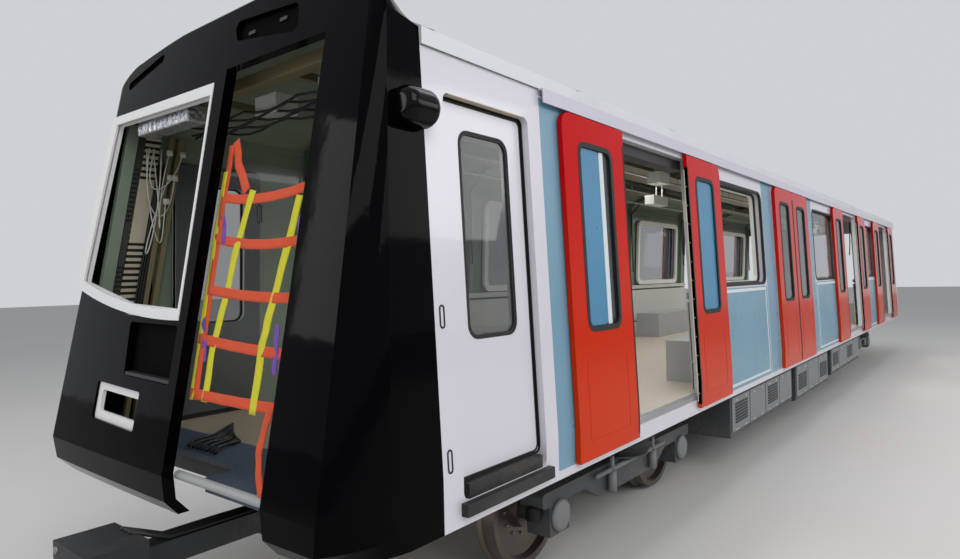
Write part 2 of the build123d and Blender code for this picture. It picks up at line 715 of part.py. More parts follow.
# Door rails: a channel along the cantrail that the leaves hang from, and the beam inside each doorway
with BuildPart() as rails:
    track_depth, track_low, track_high = TRACK
    wall_slab(track_depth, track_depth, track_low, track_high, RAIL_REAR, RAIL_FRONT)
    mirror(about=Plane.XZ)
    for side in (-1, 1):
        cover_out = LEAF_STAND_OFF + LEAF_THICK
        cover_points = lean_points(cover_out, RAIL_COVER, RAIL_LOW, CANTRAIL)
        cap_points = lean_points(cover_out, cover_out, CANTRAIL - RAIL_COVER, CANTRAIL)
        cover = [(y * side, z) for y, z in cover_points]
        cap = [(y * side, z) for y, z in cap_points]
        for section in (cover, cap):
            with BuildSketch(Plane.YZ.offset(RAIL_REAR)) as strip:
                with BuildLine():
                    Polyline(*section, close=True)
                make_face()
            extrude(strip.sketch, amount=RAIL_FRONT - RAIL_REAR)
write(rails.part, "door_rails")

with BuildPart() as headers:
    for door in DOORWAYS:
        reach = DOORWAY_WIDTH / 2 + 40
        wall_slab(
            -SKIN, HEADER_DEPTH, HEADER_LOW, HEADER_LOW + HEADER_HEIGHT, door["x"] - reach, door["x"] + reach
        )
    mirror(about=Plane.XZ)
write(headers.part, "door_headers")


def window_slab(centre, outside, thick, border):
    """Plate the shape of a side window with a border added, lying along the leaning left wall."""
    reach = WINDOW_WIDTH / 2 + border
    low, high = WINDOW_LOW - border, WINDOW_HIGH + border
    with BuildPart() as plate:
        wall_slab(outside, thick, low, high, centre - reach, centre + reach)
        side_cut(centre - reach, centre + reach, low, high, WINDOW_CORNER + border, Mode.INTERSECT)
    return plate.part


def window_ring(centre):
    """Frame round a side window, on the inside of the left wall."""
    reach = WINDOW_WIDTH / 2 - FRAME_LIP
    low, high = WINDOW_LOW + FRAME_LIP, WINDOW_HIGH - FRAME_LIP
    plate = window_slab(centre, -SKIN, FRAME_RING, FRAME_BORDER)
    with BuildPart() as ring:
        add(plate)
        side_cut(centre - reach, centre + reach, low, high, WINDOW_CORNER - FRAME_LIP)
    return ring.part


# Window frames inside the wall, one to a window
rings = [window_ring(centre) for centre in WINDOW_CENTRES]
with BuildPart() as window_frames:
    add(rings)
    mirror(about=Plane.XZ)
write(window_frames.part, "window_frames")

# Side glass: one pane to a window, but none in the front left window, where it isn't fitted
panes = {centre: window_slab(centre, -PANE_INSET, PANE, 0) for centre in WINDOW_CENTRES}
with BuildPart() as glass:
    add(list(panes.values()))
    mirror(about=Plane.XZ)
    add(panes[UNGLAZED], mode=Mode.SUBTRACT)
write(glass.part, "side_glass")

# Seat risers along the walls between the doorways
with BuildPart() as risers:
    for side in (-1, 1):
        riser_back = FLOOR_HALF_WIDTH - RISER_SET_IN
        y_low, y_high = sorted((side * riser_back, side * (riser_back - RISER_DEPTH)))
        for centre in WINDOW_CENTRES:
            box_between(
                (centre - RISER_LENGTH / 2, y_low, FLOOR_TOP),
                (centre + RISER_LENGTH / 2, y_high, FLOOR_TOP + RISER_HEIGHT),
            )
write(risers.part, "seat_risers")

# Ceiling services: two cable trays and the middle duct, held by the hangers of the roof bows
with BuildPart() as services:
    for y in (-TRAY_PLACE, TRAY_PLACE):
        box_between((TRAY_REAR, y - TRAY_HALF, TRAY_LOW), (TRAY_FRONT, y + TRAY_HALF, TRAY_LOW + TRAY_SHEET))
        for edge in (y - TRAY_HALF, y + TRAY_HALF - TRAY_SHEET):
            box_between((TRAY_REAR, edge, TRAY_LOW), (TRAY_FRONT, edge + TRAY_SHEET, TRAY_LOW + TRAY_DEPTH))
    box_between((TRAY_REAR, -DUCT_HALF, DUCT_LOW), (TRAY_FRONT, DUCT_HALF, DUCT_LOW + DUCT_HEIGHT))
write(services.part, "ceiling_services")


def leaf_solid(start):
    """Door leaf from X start: leaning plate with rounded top corners, its window and two hangers."""
    end = start + LEAF_WIDTH
    outside = LEAF_STAND_OFF + LEAF_THICK
    with BuildPart() as leaf:
        wall_slab(outside, LEAF_THICK, LEAF_BOTTOM, LEAF_TOP, start, end)
        arch_cut(start, end, LEAF_BOTTOM, LEAF_TOP, LEAF_CORNER, Mode.INTERSECT)
        width, low, high = LEAF_WINDOW
        side_cut(start + LEAF_WINDOW_EDGE, start + LEAF_WINDOW_EDGE + width, low, high, LEAF_WINDOW_CORNER)
        hanger_face = outside - HANGER_INSET
        hanger_top = RUNNER_FOOT + RUNNER_HEIGHT
        for x in (start + HANGER_EDGE, end - HANGER_EDGE - HANGER_WIDTH):
            wall_slab(hanger_face, HANGER_THICK, LEAF_TOP - HANGER_LAP, hanger_top, x, x + HANGER_WIDTH)
            wall_slab(hanger_face, RUNNER_THICK, RUNNER_FOOT, hanger_top, x, x + HANGER_WIDTH)
    return leaf.part


# Door leaves: two to a doorway on each side
for side_name, side in (("left", 1), ("right", -1)):
    for door in DOORWAYS:
        starts = {"fore": door["x"] + door["gap"], "aft": door["x"] - door["gap"] - LEAF_WIDTH}
        for place, start in starts.items():
            solid = leaf_solid(start)
            if side < 0:
                solid = mirror(solid, about=Plane.XZ)
            write(solid, f"leaf_{side_name}_{door['name']}_{place}")

# Cab side doors: flush plates with the driver's window cut, on inward hinges at the rear edge
for side_name, side in (("left", 1), ("right", -1)):
    with BuildPart() as cab_door:
        low, high = DOORWAY_LOW, CAB_DOOR_HIGH + CAB_DOOR_GAP
        wall_slab(-CAB_DOOR_INSET, CAB_DOOR_THICK, low, high, CAB_DOOR_REAR, CAB_DOOR_FRONT)
        arch_cut(
            CAB_DOOR_REAR + CAB_DOOR_GAP, CAB_DOOR_FRONT - CAB_DOOR_GAP,
            CAB_DOOR_FOOT, CAB_DOOR_HIGH - CAB_DOOR_GAP, 34, Mode.INTERSECT,
        )
        side_cut(*CAB_WINDOW, CAB_WINDOW_CORNER)
        for low, high in HINGE_HEIGHTS:
            with BuildSketch(hinge_plane(low + 2)) as barrel:
                Circle(HINGE_BARREL)
                with Locations((HINGE_BARREL, HINGE_LUG / 2)):
                    Rectangle(2 * HINGE_BARREL, HINGE_LUG)
                Circle(HINGE_PIN + HINGE_CLEARANCE, mode=Mode.SUBTRACT)
            extrude(barrel.sketch, amount=high - low - 4)
    write(cab_door.part if side > 0 else mirror(cab_door.part, about=Plane.XZ), f"cab_door_{side_name}")


def wheel_section():
    """Half section of a wheel on its axle, across the axle: bore side at Y 0, rim out to the tread."""
    return [
        (WHEEL_BACK, 0), (WHEEL_BACK, WHEEL_FLANGE - 60), (WHEEL_BACK, WHEEL_FLANGE - 8),
        (WHEEL_BACK + 10, WHEEL_FLANGE), (WHEEL_BACK + 22, WHEEL_FLANGE - 6), (WHEEL_BACK + 36, WHEEL_TREAD),
        (WHEEL_BACK + RIM_WIDTH, WHEEL_TREAD - 4), (WHEEL_BACK + RIM_WIDTH, WHEEL_TREAD - 50),
        (WHEEL_BACK + 80, WHEEL_TREAD - 60), (WHEEL_BACK + 62, 150), (WHEEL_BACK + 130, 130),
        (WHEEL_BACK + 130, AXLE_RADIUS), (JOURNAL_START, AXLE_RADIUS), (JOURNAL_START, JOURNAL_RADIUS),
        (AXLE_HALF, JOURNAL_RADIUS), (AXLE_HALF, 0),
    ]


# Wheelsets: axle with two flanged wheels, turned in one piece
for bogie_name, bogie_x in (("front", BOGIE_CENTRES[0]), ("rear", BOGIE_CENTRES[1])):
    for axle_name, reach in (("fore", WHEELBASE / 2), ("aft", -WHEELBASE / 2)):
        centre = (bogie_x + reach, 0, WHEEL_FLANGE)
        half = [(0, 0), (0, AXLE_RADIUS), (WHEEL_BACK, AXLE_RADIUS)] + wheel_section()[1:]
        with BuildPart() as wheelset:
            with BuildSketch(Plane(origin=centre, x_dir=(0, 1, 0), z_dir=(1, 0, 0))):
                with BuildLine():
                    Polyline(*half, close=True)
                make_face()
            revolve(axis=Axis(centre, (0, 1, 0)))
            mirror(about=Plane.XZ)
        write(wheelset.part, f"wheelset_{bogie_name}_{axle_name}")

# Bogie frames: two side beams with axleboxes, a transom ring round the pivot, springs and motors
for bogie_name, bogie_x in (("front", BOGIE_CENTRES[0]), ("rear", BOGIE_CENTRES[1])):
    transom_top = TRANSOM_LOW + TRANSOM_HEIGHT
    with BuildPart() as bogie:
        for side in (-1, 1):
            start_y = side * BEAM_PLACE - BEAM_WIDTH / 2
            with BuildSketch(Plane.XZ.offset(-(start_y + BEAM_WIDTH))) as beam:
                with BuildLine():
                    Polyline(*[(bogie_x + x, z) for x, z in BEAM_OUTLINE], close=True)
                make_face()
                fillet(beam.vertices(), 30)
            extrude(amount=BEAM_WIDTH)
            for reach in (-WHEELBASE / 2, WHEELBASE / 2):
                box_between(
                    (bogie_x + reach - AXLEBOX_HALF, start_y, WHEEL_FLANGE - AXLEBOX_HALF),
                    (bogie_x + reach + AXLEBOX_HALF, start_y + BEAM_WIDTH, WHEEL_FLANGE + AXLEBOX_HALF),
                )
            spring_height = AIR_SPRING_TOP - BEAM_TOP
            with Locations((bogie_x, side * AIR_SPRING_PLACE, BEAM_TOP + spring_height / 2)):
                Cylinder(AIR_SPRING_RADIUS, spring_height)
        for side in (-1, 1):
            x = bogie_x + side * TRANSOM_PLACE
            box_between(
                (x - TRANSOM_HALF, -BEAM_PLACE, TRANSOM_LOW), (x + TRANSOM_HALF, BEAM_PLACE, transom_top)
            )
            motor_x = bogie_x + side * MOTOR_PLACE
            with Locations(Location((motor_x, -side * MOTOR_OFFSET, MOTOR_HEIGHT), (90, 0, 0))):
                Cylinder(MOTOR_RADIUS, MOTOR_LENGTH)
            with Locations(Location((motor_x, side * GEAR_OFFSET, MOTOR_HEIGHT), (90, 0, 0))):
                Cylinder(GEAR_RADIUS, GEAR_WIDTH)
        for reach in (-WHEELBASE / 2, WHEELBASE / 2):
            with Locations(Location((bogie_x + reach, 0, WHEEL_FLANGE), (90, 0, 0))):
                Cylinder(JOURNAL_RADIUS + AXLE_CLEARANCE, 2 * AXLE_HALF + 10, mode=Mode.SUBTRACT)
        box_between(
            (bogie_x - PIVOT_BLOCK, -PIVOT_BLOCK, TRANSOM_LOW),
            (bogie_x + PIVOT_BLOCK, PIVOT_BLOCK, transom_top),
        )
        with Locations((bogie_x, 0, PIVOT_LOW)):
            Cylinder(PIVOT_RADIUS + AXLE_CLEARANCE, 900, mode=Mode.SUBTRACT)
    write(bogie.part, f"bogie_frame_{bogie_name}")

# Front coupler: swinging shank with a square head
with BuildPart() as coupler:
    with Locations((DRAFT_PIVOT, 0, COUPLER_HEIGHT)):
        Cylinder(90, 220)
    box_between((DRAFT_PIVOT, -60, COUPLER_HEIGHT - 60), (COUPLER_FACE - 200, 60, COUPLER_HEIGHT + 60))
    box_between(
        (COUPLER_FACE - 280, -190, COUPLER_HEIGHT - 150), (COUPLER_FACE, 190, COUPLER_HEIGHT + 150)
    )
    with Locations((DRAFT_PIVOT, 0, COUPLER_HEIGHT)):
        Cylinder(COUPLER_PIN + AXLE_CLEARANCE, 300, mode=Mode.SUBTRACT)
write(coupler.part, "front_coupler")

# Rear drawbar: fixed bar with a round flange drilled for four bolts
with BuildPart() as drawbar:
    box_between(
        (-COUPLER_FACE + 30, -60, COUPLER_HEIGHT - 60), (-DRAFT_PIVOT, 60, COUPLER_HEIGHT + 60)
    )
    with Locations((-DRAFT_PIVOT, 0, COUPLER_HEIGHT)):
        Cylinder(90, 230)
    with Locations(Location((-COUPLER_FACE + 20, 0, COUPLER_HEIGHT), (0, 90, 0))):
        Cylinder(150, 40)
    with BuildSketch(Plane(origin=(-COUPLER_FACE, 0, COUPLER_HEIGHT), z_dir=(-1, 0, 0))) as bolt_holes:
        with PolarLocations(DRAWBAR_BOLT_CIRCLE / 2, 4, start_angle=45):
            Circle(DRAWBAR_BOLT_RADIUS)
    extrude(bolt_holes.sketch, amount=-40, mode=Mode.SUBTRACT)
write(drawbar.part, "rear_drawbar")

# Doorway net: flat straps across the open front doorway, set behind the face
with BuildPart() as net:
    for line in NET_UPRIGHTS + NET_CROSSES:
        (y_a, z_a), (y_b, z_b) = line
        run = hypot(y_b - y_a, z_b - z_a)
        across = ((z_a - z_b) / run * STRAP_WIDTH / 2, (y_b - y_a) / run * STRAP_WIDTH / 2)
        corners = [
            (y_a + across[0], z_a + across[1]), (y_b + across[0], z_b + across[1]),
            (y_b - across[0], z_b - across[1]), (y_a - across[0], z_a - across[1]),
        ]
        with BuildSketch(FACE.offset(-NET_SET_BACK)) as strap:
            with BuildLine():
                Polyline(*on_face(corners), close=True)
            make_face()
        extrude(strap.sketch, amount=-STRAP_THICK)
write(net.part, "doorway_net")
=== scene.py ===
import bpy
import bmesh
import math
import random
from mathutils import Matrix, Vector


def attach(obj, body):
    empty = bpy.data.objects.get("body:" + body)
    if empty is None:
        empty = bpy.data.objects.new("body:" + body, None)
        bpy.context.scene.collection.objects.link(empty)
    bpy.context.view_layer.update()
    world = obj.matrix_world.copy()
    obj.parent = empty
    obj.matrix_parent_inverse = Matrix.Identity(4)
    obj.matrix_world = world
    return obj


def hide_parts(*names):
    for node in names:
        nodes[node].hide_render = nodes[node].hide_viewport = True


# Looks of the driving car: paint, film, glass, seals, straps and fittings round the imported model.
# Metres, X to the cab end, Y to the car's left side, Z up from the tips of the wheel flanges.

random.seed(7)
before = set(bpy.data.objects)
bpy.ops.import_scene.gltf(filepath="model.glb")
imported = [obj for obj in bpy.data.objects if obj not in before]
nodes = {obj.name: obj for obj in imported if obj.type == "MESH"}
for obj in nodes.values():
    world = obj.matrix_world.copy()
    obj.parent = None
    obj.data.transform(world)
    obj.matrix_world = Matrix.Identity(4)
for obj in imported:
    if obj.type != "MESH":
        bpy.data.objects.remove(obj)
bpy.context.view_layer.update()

# Sizes that the solids have too
SKIN_HALF_WIDTH = 1.42
WAIST = 1.1
LEAN = 0.046
GUTTER = 3.16
GUTTER_HALF_WIDTH = 1.343
ROOF_RISE = 0.36
ROOF_CROWN = GUTTER + ROOF_RISE
ROOF_RADIUS = (GUTTER_HALF_WIDTH ** 2 + ROOF_RISE ** 2) / (2 * ROOF_RISE)
ROOF_UNITS = (3.45, -4.71)
FAN_OFFSET = 0.45
RAKE = 0.19
RAKE_X = 8.607
RAKE_Z = 1.46
REAR_WALL = -8.72
FLOOR_TOP = 1.0
LEAF_STAND_OFF = 0.008
LEAF_OUTSIDE = LEAF_STAND_OFF + 0.032
LEAF_WIDTH = 0.8
LEAF_LOW = 0.9
LEAF_HIGH = 2.99
LEAF_CORNER = 0.09
LEAF_WINDOW = (0.19, 0.62, 1.67, 2.825)
WINDOW_CENTRES = (3.45, -0.63, -4.71)
WINDOW_WIDTH = 1.577
WINDOW_LOW = 1.89
WINDOW_HIGH = 2.865
AXLE_HEIGHT = 0.42

# number, centre, half the clear gap at rest, what the leaf glass carries
DOORWAYS = [
    ("1", 5.49, 0.587, "film"),
    ("2", 1.41, 0.003, "clear"),
    ("3", -2.67, 0.72, "clear"),
    ("4", -6.75, 0.72, "clear"),
]
BOGIES = (("front", 5.45), ("rear", -5.45))
FRAME_PLACES = (6.69, 4.515, 2.385, 0.435, -1.695, -3.645, -5.775, -7.85)
SIDES = (("left", 1), ("right", -1))


def skin_at(height):
    """Half width of the body skin."""
    return SKIN_HALF_WIDTH - LEAN * max(0, height - WAIST)


def face_at(height):
    """X of the raked cab front on the middle line."""
    return RAKE_X - RAKE * (height - RAKE_Z)


def in_scene(name, data):
    """New object in the scene."""
    item = bpy.data.objects.new(name, data)
    bpy.context.scene.collection.objects.link(item)
    return item


# Camera, at the photograph's place
YAW = 0.6719
PITCH = -0.00098
ROLL = -0.02161
CAMERA_PLACE = (10.2115, 3.38834, 1.99924)
FOCAL_PIXELS = 653.486
IMAGE_WIDTH = 960
SENSOR_WIDTH = 36
camera_data = bpy.data.cameras.new("camera")
camera_data.sensor_width = SENSOR_WIDTH
camera_data.lens = FOCAL_PIXELS / IMAGE_WIDTH * SENSOR_WIDTH
camera_data.clip_start = 0.05
camera_data.clip_end = 400
camera = in_scene("camera", camera_data)
turn = (Matrix.Rotation(YAW + math.pi / 2, 4, "Z") @ Matrix.Rotation(PITCH + math.pi / 2, 4, "X")
        @ Matrix.Rotation(ROLL, 4, "Z"))
camera.matrix_world = Matrix.Translation(CAMERA_PLACE) @ turn
bpy.context.scene.camera = camera
bpy.context.scene.view_settings.view_transform = "Standard"


# Materials

def shade(colour, factor=1):
    """Colour as a screen shows it, 0 to 255, in the shader's own values and made lighter or darker."""
    values = []
    for part in colour:
        part = part / 255
        part = part / 12.92 if part <= 0.04045 else ((part + 0.055) / 1.055) ** 2.4
        values.append(min(1, part * factor))
    return (*values, 1)


finishes = {}
PRIMER = (118, 132, 116)
WHITE = (214, 212, 220)
# painted shade: the body white made darker and lavender for the band under the gutter
SHADED_WHITE = (200, 197, 210)
DUST = (150, 142, 128)
# painted shade seen through the slots of the cable trays
SLOT_SHADE = (22, 20, 18)
# painted light: heights over which the red leaves fade to a lighter, more orange foot
LIT_FADE = (1.2, 2.6)
CAB_FLOOR_START = 6.97
BARE_DECK_START = 7.93


def add_node(tree, kind, output, sockets, **values):
    """One output of a new node, whose sockets are fed by values or by other nodes' outputs."""
    node = tree.nodes.new(kind)
    for key, value in values.items():
        setattr(node, key, value)
    for key, value in sockets.items():
        if isinstance(value, bpy.types.NodeSocket):
            tree.links.new(value, node.inputs[key])
        else:
            node.inputs[key].default_value = value
    return node.outputs[output]


class Nodes:
    """Short names for building one material's nodes."""

    def __init__(self, name):
        finishes[name] = bpy.data.materials.new(name)
        finishes[name].use_nodes = True
        self.tree = finishes[name].node_tree
        self.shader = self.tree.nodes["Principled BSDF"]
        self.place = self.tree.nodes.new("ShaderNodeTexCoord")

    def add(self, *given, **values):
        return add_node(self.tree, *given, **values)

    def noise(self, scale, detail=3.0, stretch=None):
        spot = self.place.outputs["Object"]
        if stretch:
            spot = self.add("ShaderNodeMapping", "Vector", {"Vector": spot, "Scale": stretch})
        return self.add("ShaderNodeTexNoise", "Fac", {"Scale": scale, "Detail": detail, "Vector": spot})

    def wave(self, scale, direction):
        sockets = {"Scale": scale, "Vector": self.place.outputs["Object"]}
        return self.add("ShaderNodeTexWave", "Fac", sockets, wave_type="BANDS", bands_direction=direction)

    def ramp(self, value, low, high):
        return self.add("ShaderNodeMapRange", "Result", {"Value": value, "From Min": low, "From Max": high})

    def mix(self, factor, *colours):
        first, second = [shade(one) if isinstance(one, tuple) and len(one) == 3 else one for one in colours]
        return self.add("ShaderNodeMix", 2, {"Factor": factor, 6: first, 7: second}, data_type="RGBA")

    def axis(self, letter, output="Object"):
        return self.add("ShaderNodeSeparateXYZ", letter, {0: self.place.outputs[output]})

    def math(self, operation, *given):
        return self.add("ShaderNodeMath", 0, dict(enumerate(given)), operation=operation)

    def vector(self, operation, output, *given):
        return self.add("ShaderNodeVectorMath", output, dict(enumerate(given)), operation=operation)

    def outward(self, centre):
        """How far the surface faces away from the centre, or without one from the car's middle plane."""
        if centre is None:
            return self.math("MULTIPLY", self.math("SIGN", self.axis("Y")), self.axis("Y", "Normal"))
        offset = self.vector("SUBTRACT", "Vector", self.place.outputs["Object"], centre)
        unit = self.vector("NORMALIZE", "Vector", offset)
        return self.vector("DOT_PRODUCT", "Value", unit, self.place.outputs["Normal"])

    def feed(self, socket, value):
        self.tree.links.new(value, self.shader.inputs[socket])

    def colour(self, value):
        self.feed("Base Color", value)

    def bump(self, height, distance):
        self.feed("Normal", self.add("ShaderNodeBump", "Normal", {"Height": height, "Distance": distance}))

    def roughness(self, middle, spread, scale=3.0):
        sockets = {"Value": self.noise(scale, 5.0), "To Min": max(0.02, middle - spread),
                   "To Max": min(1.0, middle + spread)}
        self.feed("Roughness", self.add("ShaderNodeMapRange", "Result", sockets))


def paint(name, colour, roughness=0.3, spread=0.06, mottle=0.05, scale=2.0, wave=0.0006, wave_scale=9.0,
          coat=0.0, dust=0.0, inside=None, lit_low_colour=None, centre=None, threshold=0.0, specular=0.5,
          skin_depth=0.0):
    """Painted or plain surface: mottled colour, uneven gloss, a slight wave, dust, its own inside colour
    and, if given, a foot of painted light.
    """
    made = Nodes(name)
    base = made.mix(made.noise(scale, 5.0), shade(colour, 1 - mottle), shade(colour, 1 + mottle))
    # painted light: the colour fades to a lighter, warmer one towards the foot
    if lit_low_colour:
        base = made.mix(made.ramp(made.axis("Z"), *LIT_FADE), lit_low_colour, base)
    if dust:
        patch = made.ramp(made.noise(1.7, 6.0), 0.5, 0.8)
        streak = made.ramp(made.noise(30.0, 4.0), 0.3, 0.8)
        cover = made.math("MULTIPLY", made.math("MULTIPLY", patch, streak), dust)
        base = made.mix(cover, base, DUST)
    if inside:
        facing = made.outward(centre)
        if skin_depth:
            run = made.math("SUBTRACT", RAKE_X + RAKE * RAKE_Z, made.math("MULTIPLY", made.axis("Z"), RAKE))
            depth = made.math("SUBTRACT", run, made.axis("X"))
            facing = made.math("MAXIMUM", facing, made.math("LESS_THAN", depth, skin_depth))
        rubbed = made.mix(made.noise(4.0, 6.0), shade(inside, 0.85), shade(inside, 1.1))
        base = made.mix(made.ramp(facing, threshold - 0.02, threshold + 0.02), rubbed, base)
    made.colour(base)
    made.roughness(roughness, spread)
    made.bump(made.noise(wave_scale, 3.0), wave)
    made.shader.inputs["Coat Weight"].default_value = coat
    made.shader.inputs["Coat Roughness"].default_value = 0.04
    made.shader.inputs["Specular IOR Level"].default_value = specular


for name, inside in (("body_white", PRIMER), ("cab_door_white", (74, 78, 80))):
    paint(name, WHITE, 0.22, 0.05, 0.015, 1.2, 0.0004, 5.0, coat=0.4, inside=inside, threshold=-0.3)
paint("roof_white", (214, 216, 220), 0.4, 0.08, 0.03, 0.8, 0.0006, 4.0, dust=0.5, inside=PRIMER,
      centre=(0, 0, 1.2))
# painted shade: white darkened to lavender, as the rail cover under the gutter lies in shade; the roof seams
# take the same colour
paint("rail_shaded_white", SHADED_WHITE, 0.3, 0.06, 0.02, 1.5, 0.0004, 5.0, coat=0.2)
paint("gloss_black", (4, 4, 6), 0.06, 0.02, 0.1, 1.0, 0.0012, 3.2, specular=0.04, inside=(36, 40, 34),
      centre=(7.6, 0, 2.2), threshold=-0.3, skin_depth=0.056)
paint("pod_black", (6, 6, 8), 0.1, 0.03, 0.1, 3.0, 0.0002, 30.0, specular=0.15)
paint("dull_black", (6, 6, 7), 0.85, 0.05, 0.2, 9.0, 0.0004, 60.0, specular=0.05)
paint("satin_black", (26, 26, 28), 0.5, 0.1, 0.12, 5.0, 0.0003, 60.0, dust=0.3)
paint("gasket", (14, 14, 15), 0.62, 0.08, 0.1, 12.0, 0.0002, 220.0)
# painted light: the red leaves lighter and more orange towards the foot
paint("door_red", (196, 4, 6), 0.14, 0.04, 0.03, 1.5, 0.0005, 5.0, specular=0.1, lit_low_colour=(206, 54, 6),
      inside=(176, 176, 172), threshold=-0.5)
paint("flange_white", (236, 236, 236), 0.45, 0.06, 0.02, 6.0, 0.0003, 40.0)
paint("light_grey", (170, 172, 172), 0.5, 0.08, 0.06, 3.0, 0.0004, 20.0, dust=0.4)
paint("mid_grey", (122, 126, 128), 0.45, 0.08, 0.06, 3.0, 0.0004, 20.0, dust=0.4)
paint("under_grey", (64, 67, 70), 0.5, 0.1, 0.12, 4.0, 0.0006, 40.0, dust=0.6)
paint("under_dark", (38, 40, 42), 0.55, 0.1, 0.15, 5.0, 0.0008, 50.0, dust=0.6)
paint("primer_green", PRIMER, 0.6, 0.08, 0.12, 3.0, 0.0004, 60.0, dust=0.4)
paint("plastic_white", (222, 222, 216), 0.4, 0.06, 0.03, 8.0, 0.0003, 80.0)
paint("lining_grey", (196, 196, 190), 0.5, 0.08, 0.04, 3.0, 0.0004, 20.0, dust=0.2)
paint("tape_pale", (214, 222, 226), 0.5, 0.08, 0.05, 12.0, 0.0004, 60.0)
for name, colour in (("cable_black", (20, 20, 22)), ("cable_pale", (206, 206, 196))):
    paint(name, colour, 0.5, 0.08, 0.1, 30.0, 0.0001, 300.0)
paint("cream", (232, 222, 190), 0.5, 0.06, 0.04, 8.0, 0.0003, 60.0)
# painted shade: the doorway's head, white like its jambs, shaded and warmed by reflected light, painted tan
paint("reveal_painted_shade", (186, 170, 146), 0.45, 0.08, 0.06, 6.0, 0.0003, 60.0)
paint("olive", (112, 104, 72), 0.55, 0.08, 0.1, 6.0, 0.0004, 60.0, dust=0.3)
paint("brake_yellow", (214, 170, 40), 0.5, 0.1, 0.1, 9.0, 0.0003, 60.0, dust=0.5)


def bare_metal(name, colour, roughness, scale, stretch=(1, 1, 1)):
    """Bare metal with drawn or turned marks."""
    made = Nodes(name)
    marks = made.noise(scale, 6.0, stretch)
    made.colour(made.mix(marks, shade(colour, 0.82), shade(colour, 1.12)))
    made.roughness(roughness, 0.1, 8.0)
    made.bump(marks, 0.00025)
    made.shader.inputs["Metallic"].default_value = 1.0


bare_metal("bright_metal", (198, 200, 202), 0.34, 30.0, (1, 8, 8))
bare_metal("tray_metal", (176, 170, 150), 0.42, 30.0, (1, 6, 6))
bare_metal("wheel_metal", (120, 112, 104), 0.42, 25.0, (6, 1, 6))
bare_metal("bolt_metal", (150, 148, 142), 0.4, 120.0)


def plate_material(name, colour, pitch, height):
    """Ribbed tread plate."""
    made = Nodes(name)
    made.colour(made.mix(made.noise(6.0, 5.0), shade(colour, 0.8), shade(colour, 1.15)))
    made.roughness(0.38, 0.1)
    made.bump(made.wave(1 / (2 * pitch), "Y"), height)
    made.shader.inputs["Metallic"].default_value = 0.9


plate_material("tread_plate", (176, 178, 180), 0.018, 0.0025)


# Speckled floor sheet of the saloon, then the bare board of the cab and the deck ahead of it
sheet = Nodes("floor_sheet")
speck = sheet.ramp(sheet.noise(260.0, 2.0), 0.52, 0.62)
grey = sheet.mix(speck, (190, 178, 162), (214, 204, 190))
board = sheet.mix(sheet.noise(12.0, 8.0, (1, 6, 1)), (156, 142, 122), (186, 172, 150))
bare = sheet.mix(sheet.noise(20.0, 6.0), (54, 66, 84), (84, 98, 118))
cab = sheet.mix(sheet.ramp(sheet.axis("X"), BARE_DECK_START, BARE_DECK_START + 0.01), board, bare)
sheet.colour(sheet.mix(sheet.ramp(sheet.axis("X"), CAB_FLOOR_START, CAB_FLOOR_START + 0.01), grey, cab))
sheet.roughness(0.55, 0.12)
sheet.bump(sheet.noise(180.0, 3.0), 0.0003)

# Crumpled foil wrap
foil = Nodes("foil_wrap")
crumple = foil.noise(26.0, 8.0)
foil.colour(foil.mix(crumple, (170, 172, 178), (226, 228, 232)))
foil.roughness(0.3, 0.12, 14.0)
foil.bump(crumple, 0.02)
foil.shader.inputs["Metallic"].default_value = 0.9


def film_material(name, colour):
    """Protective film stuck over paint or glass: thin, slightly wrinkled and half glossy."""
    made = Nodes(name)
    crease = made.noise(5.0, 8.0, (1.0, 1.0, 0.35))
    base = made.mix(made.noise(1.6, 6.0), shade(colour, 0.86), shade(colour, 1.14))
    pale = made.math("MULTIPLY", made.ramp(crease, 0.66, 0.74), 0.35)
    made.colour(made.mix(pale, base, shade(colour, 1.7)))
    made.roughness(0.3, 0.1, 4.0)
    made.bump(crease, 0.0035)


film_material("film_blue", (112, 154, 176))
film_material("film_deep", (66, 132, 170))


def glass_material(name, colour, roughness, alpha):
    """Glass pane that lets light through and reflects, with faint smears."""
    made = Nodes(name)
    smear = made.ramp(made.noise(3.0, 7.0, (1, 1, 0.4)), 0.4, 0.8)
    made.colour(made.mix(smear, colour, shade(colour, 1.25)))
    made.roughness(roughness, roughness * 0.6, 6.0)
    made.bump(made.noise(2.0, 2.0), 0.0008)
    made.shader.inputs["Alpha"].default_value = alpha
    made.shader.inputs["IOR"].default_value = 1.5
    made.shader.inputs["Coat Weight"].default_value = 0.6


glass_material("side_glass", (44, 52, 54), 0.03, 0.42)
glass_material("leaf_glass", (34, 38, 40), 0.03, 0.5)


def webbing_material(name, colour):
    """Woven strap: fine diagonal weave, worn patches and a soft sheen."""
    made = Nodes(name)
    weave = made.math("MULTIPLY", made.wave(90, "DIAGONAL"), made.wave(150, "Z"))
    worn = made.mix(made.noise(6.0, 6.0), shade(colour, 0.82), shade(colour, 1.08))
    made.colour(made.mix(made.math("MULTIPLY", weave, 0.45), worn, shade(colour, 0.6)))
    made.roughness(0.75, 0.1)
    made.bump(weave, 0.0012)
    made.shader.inputs["Sheen Weight"].default_value = 0.1


webbing_material("strap_orange", (255, 88, 34))
webbing_material("strap_yellow", (246, 240, 36))
webbing_material("strap_purple", (130, 84, 196))


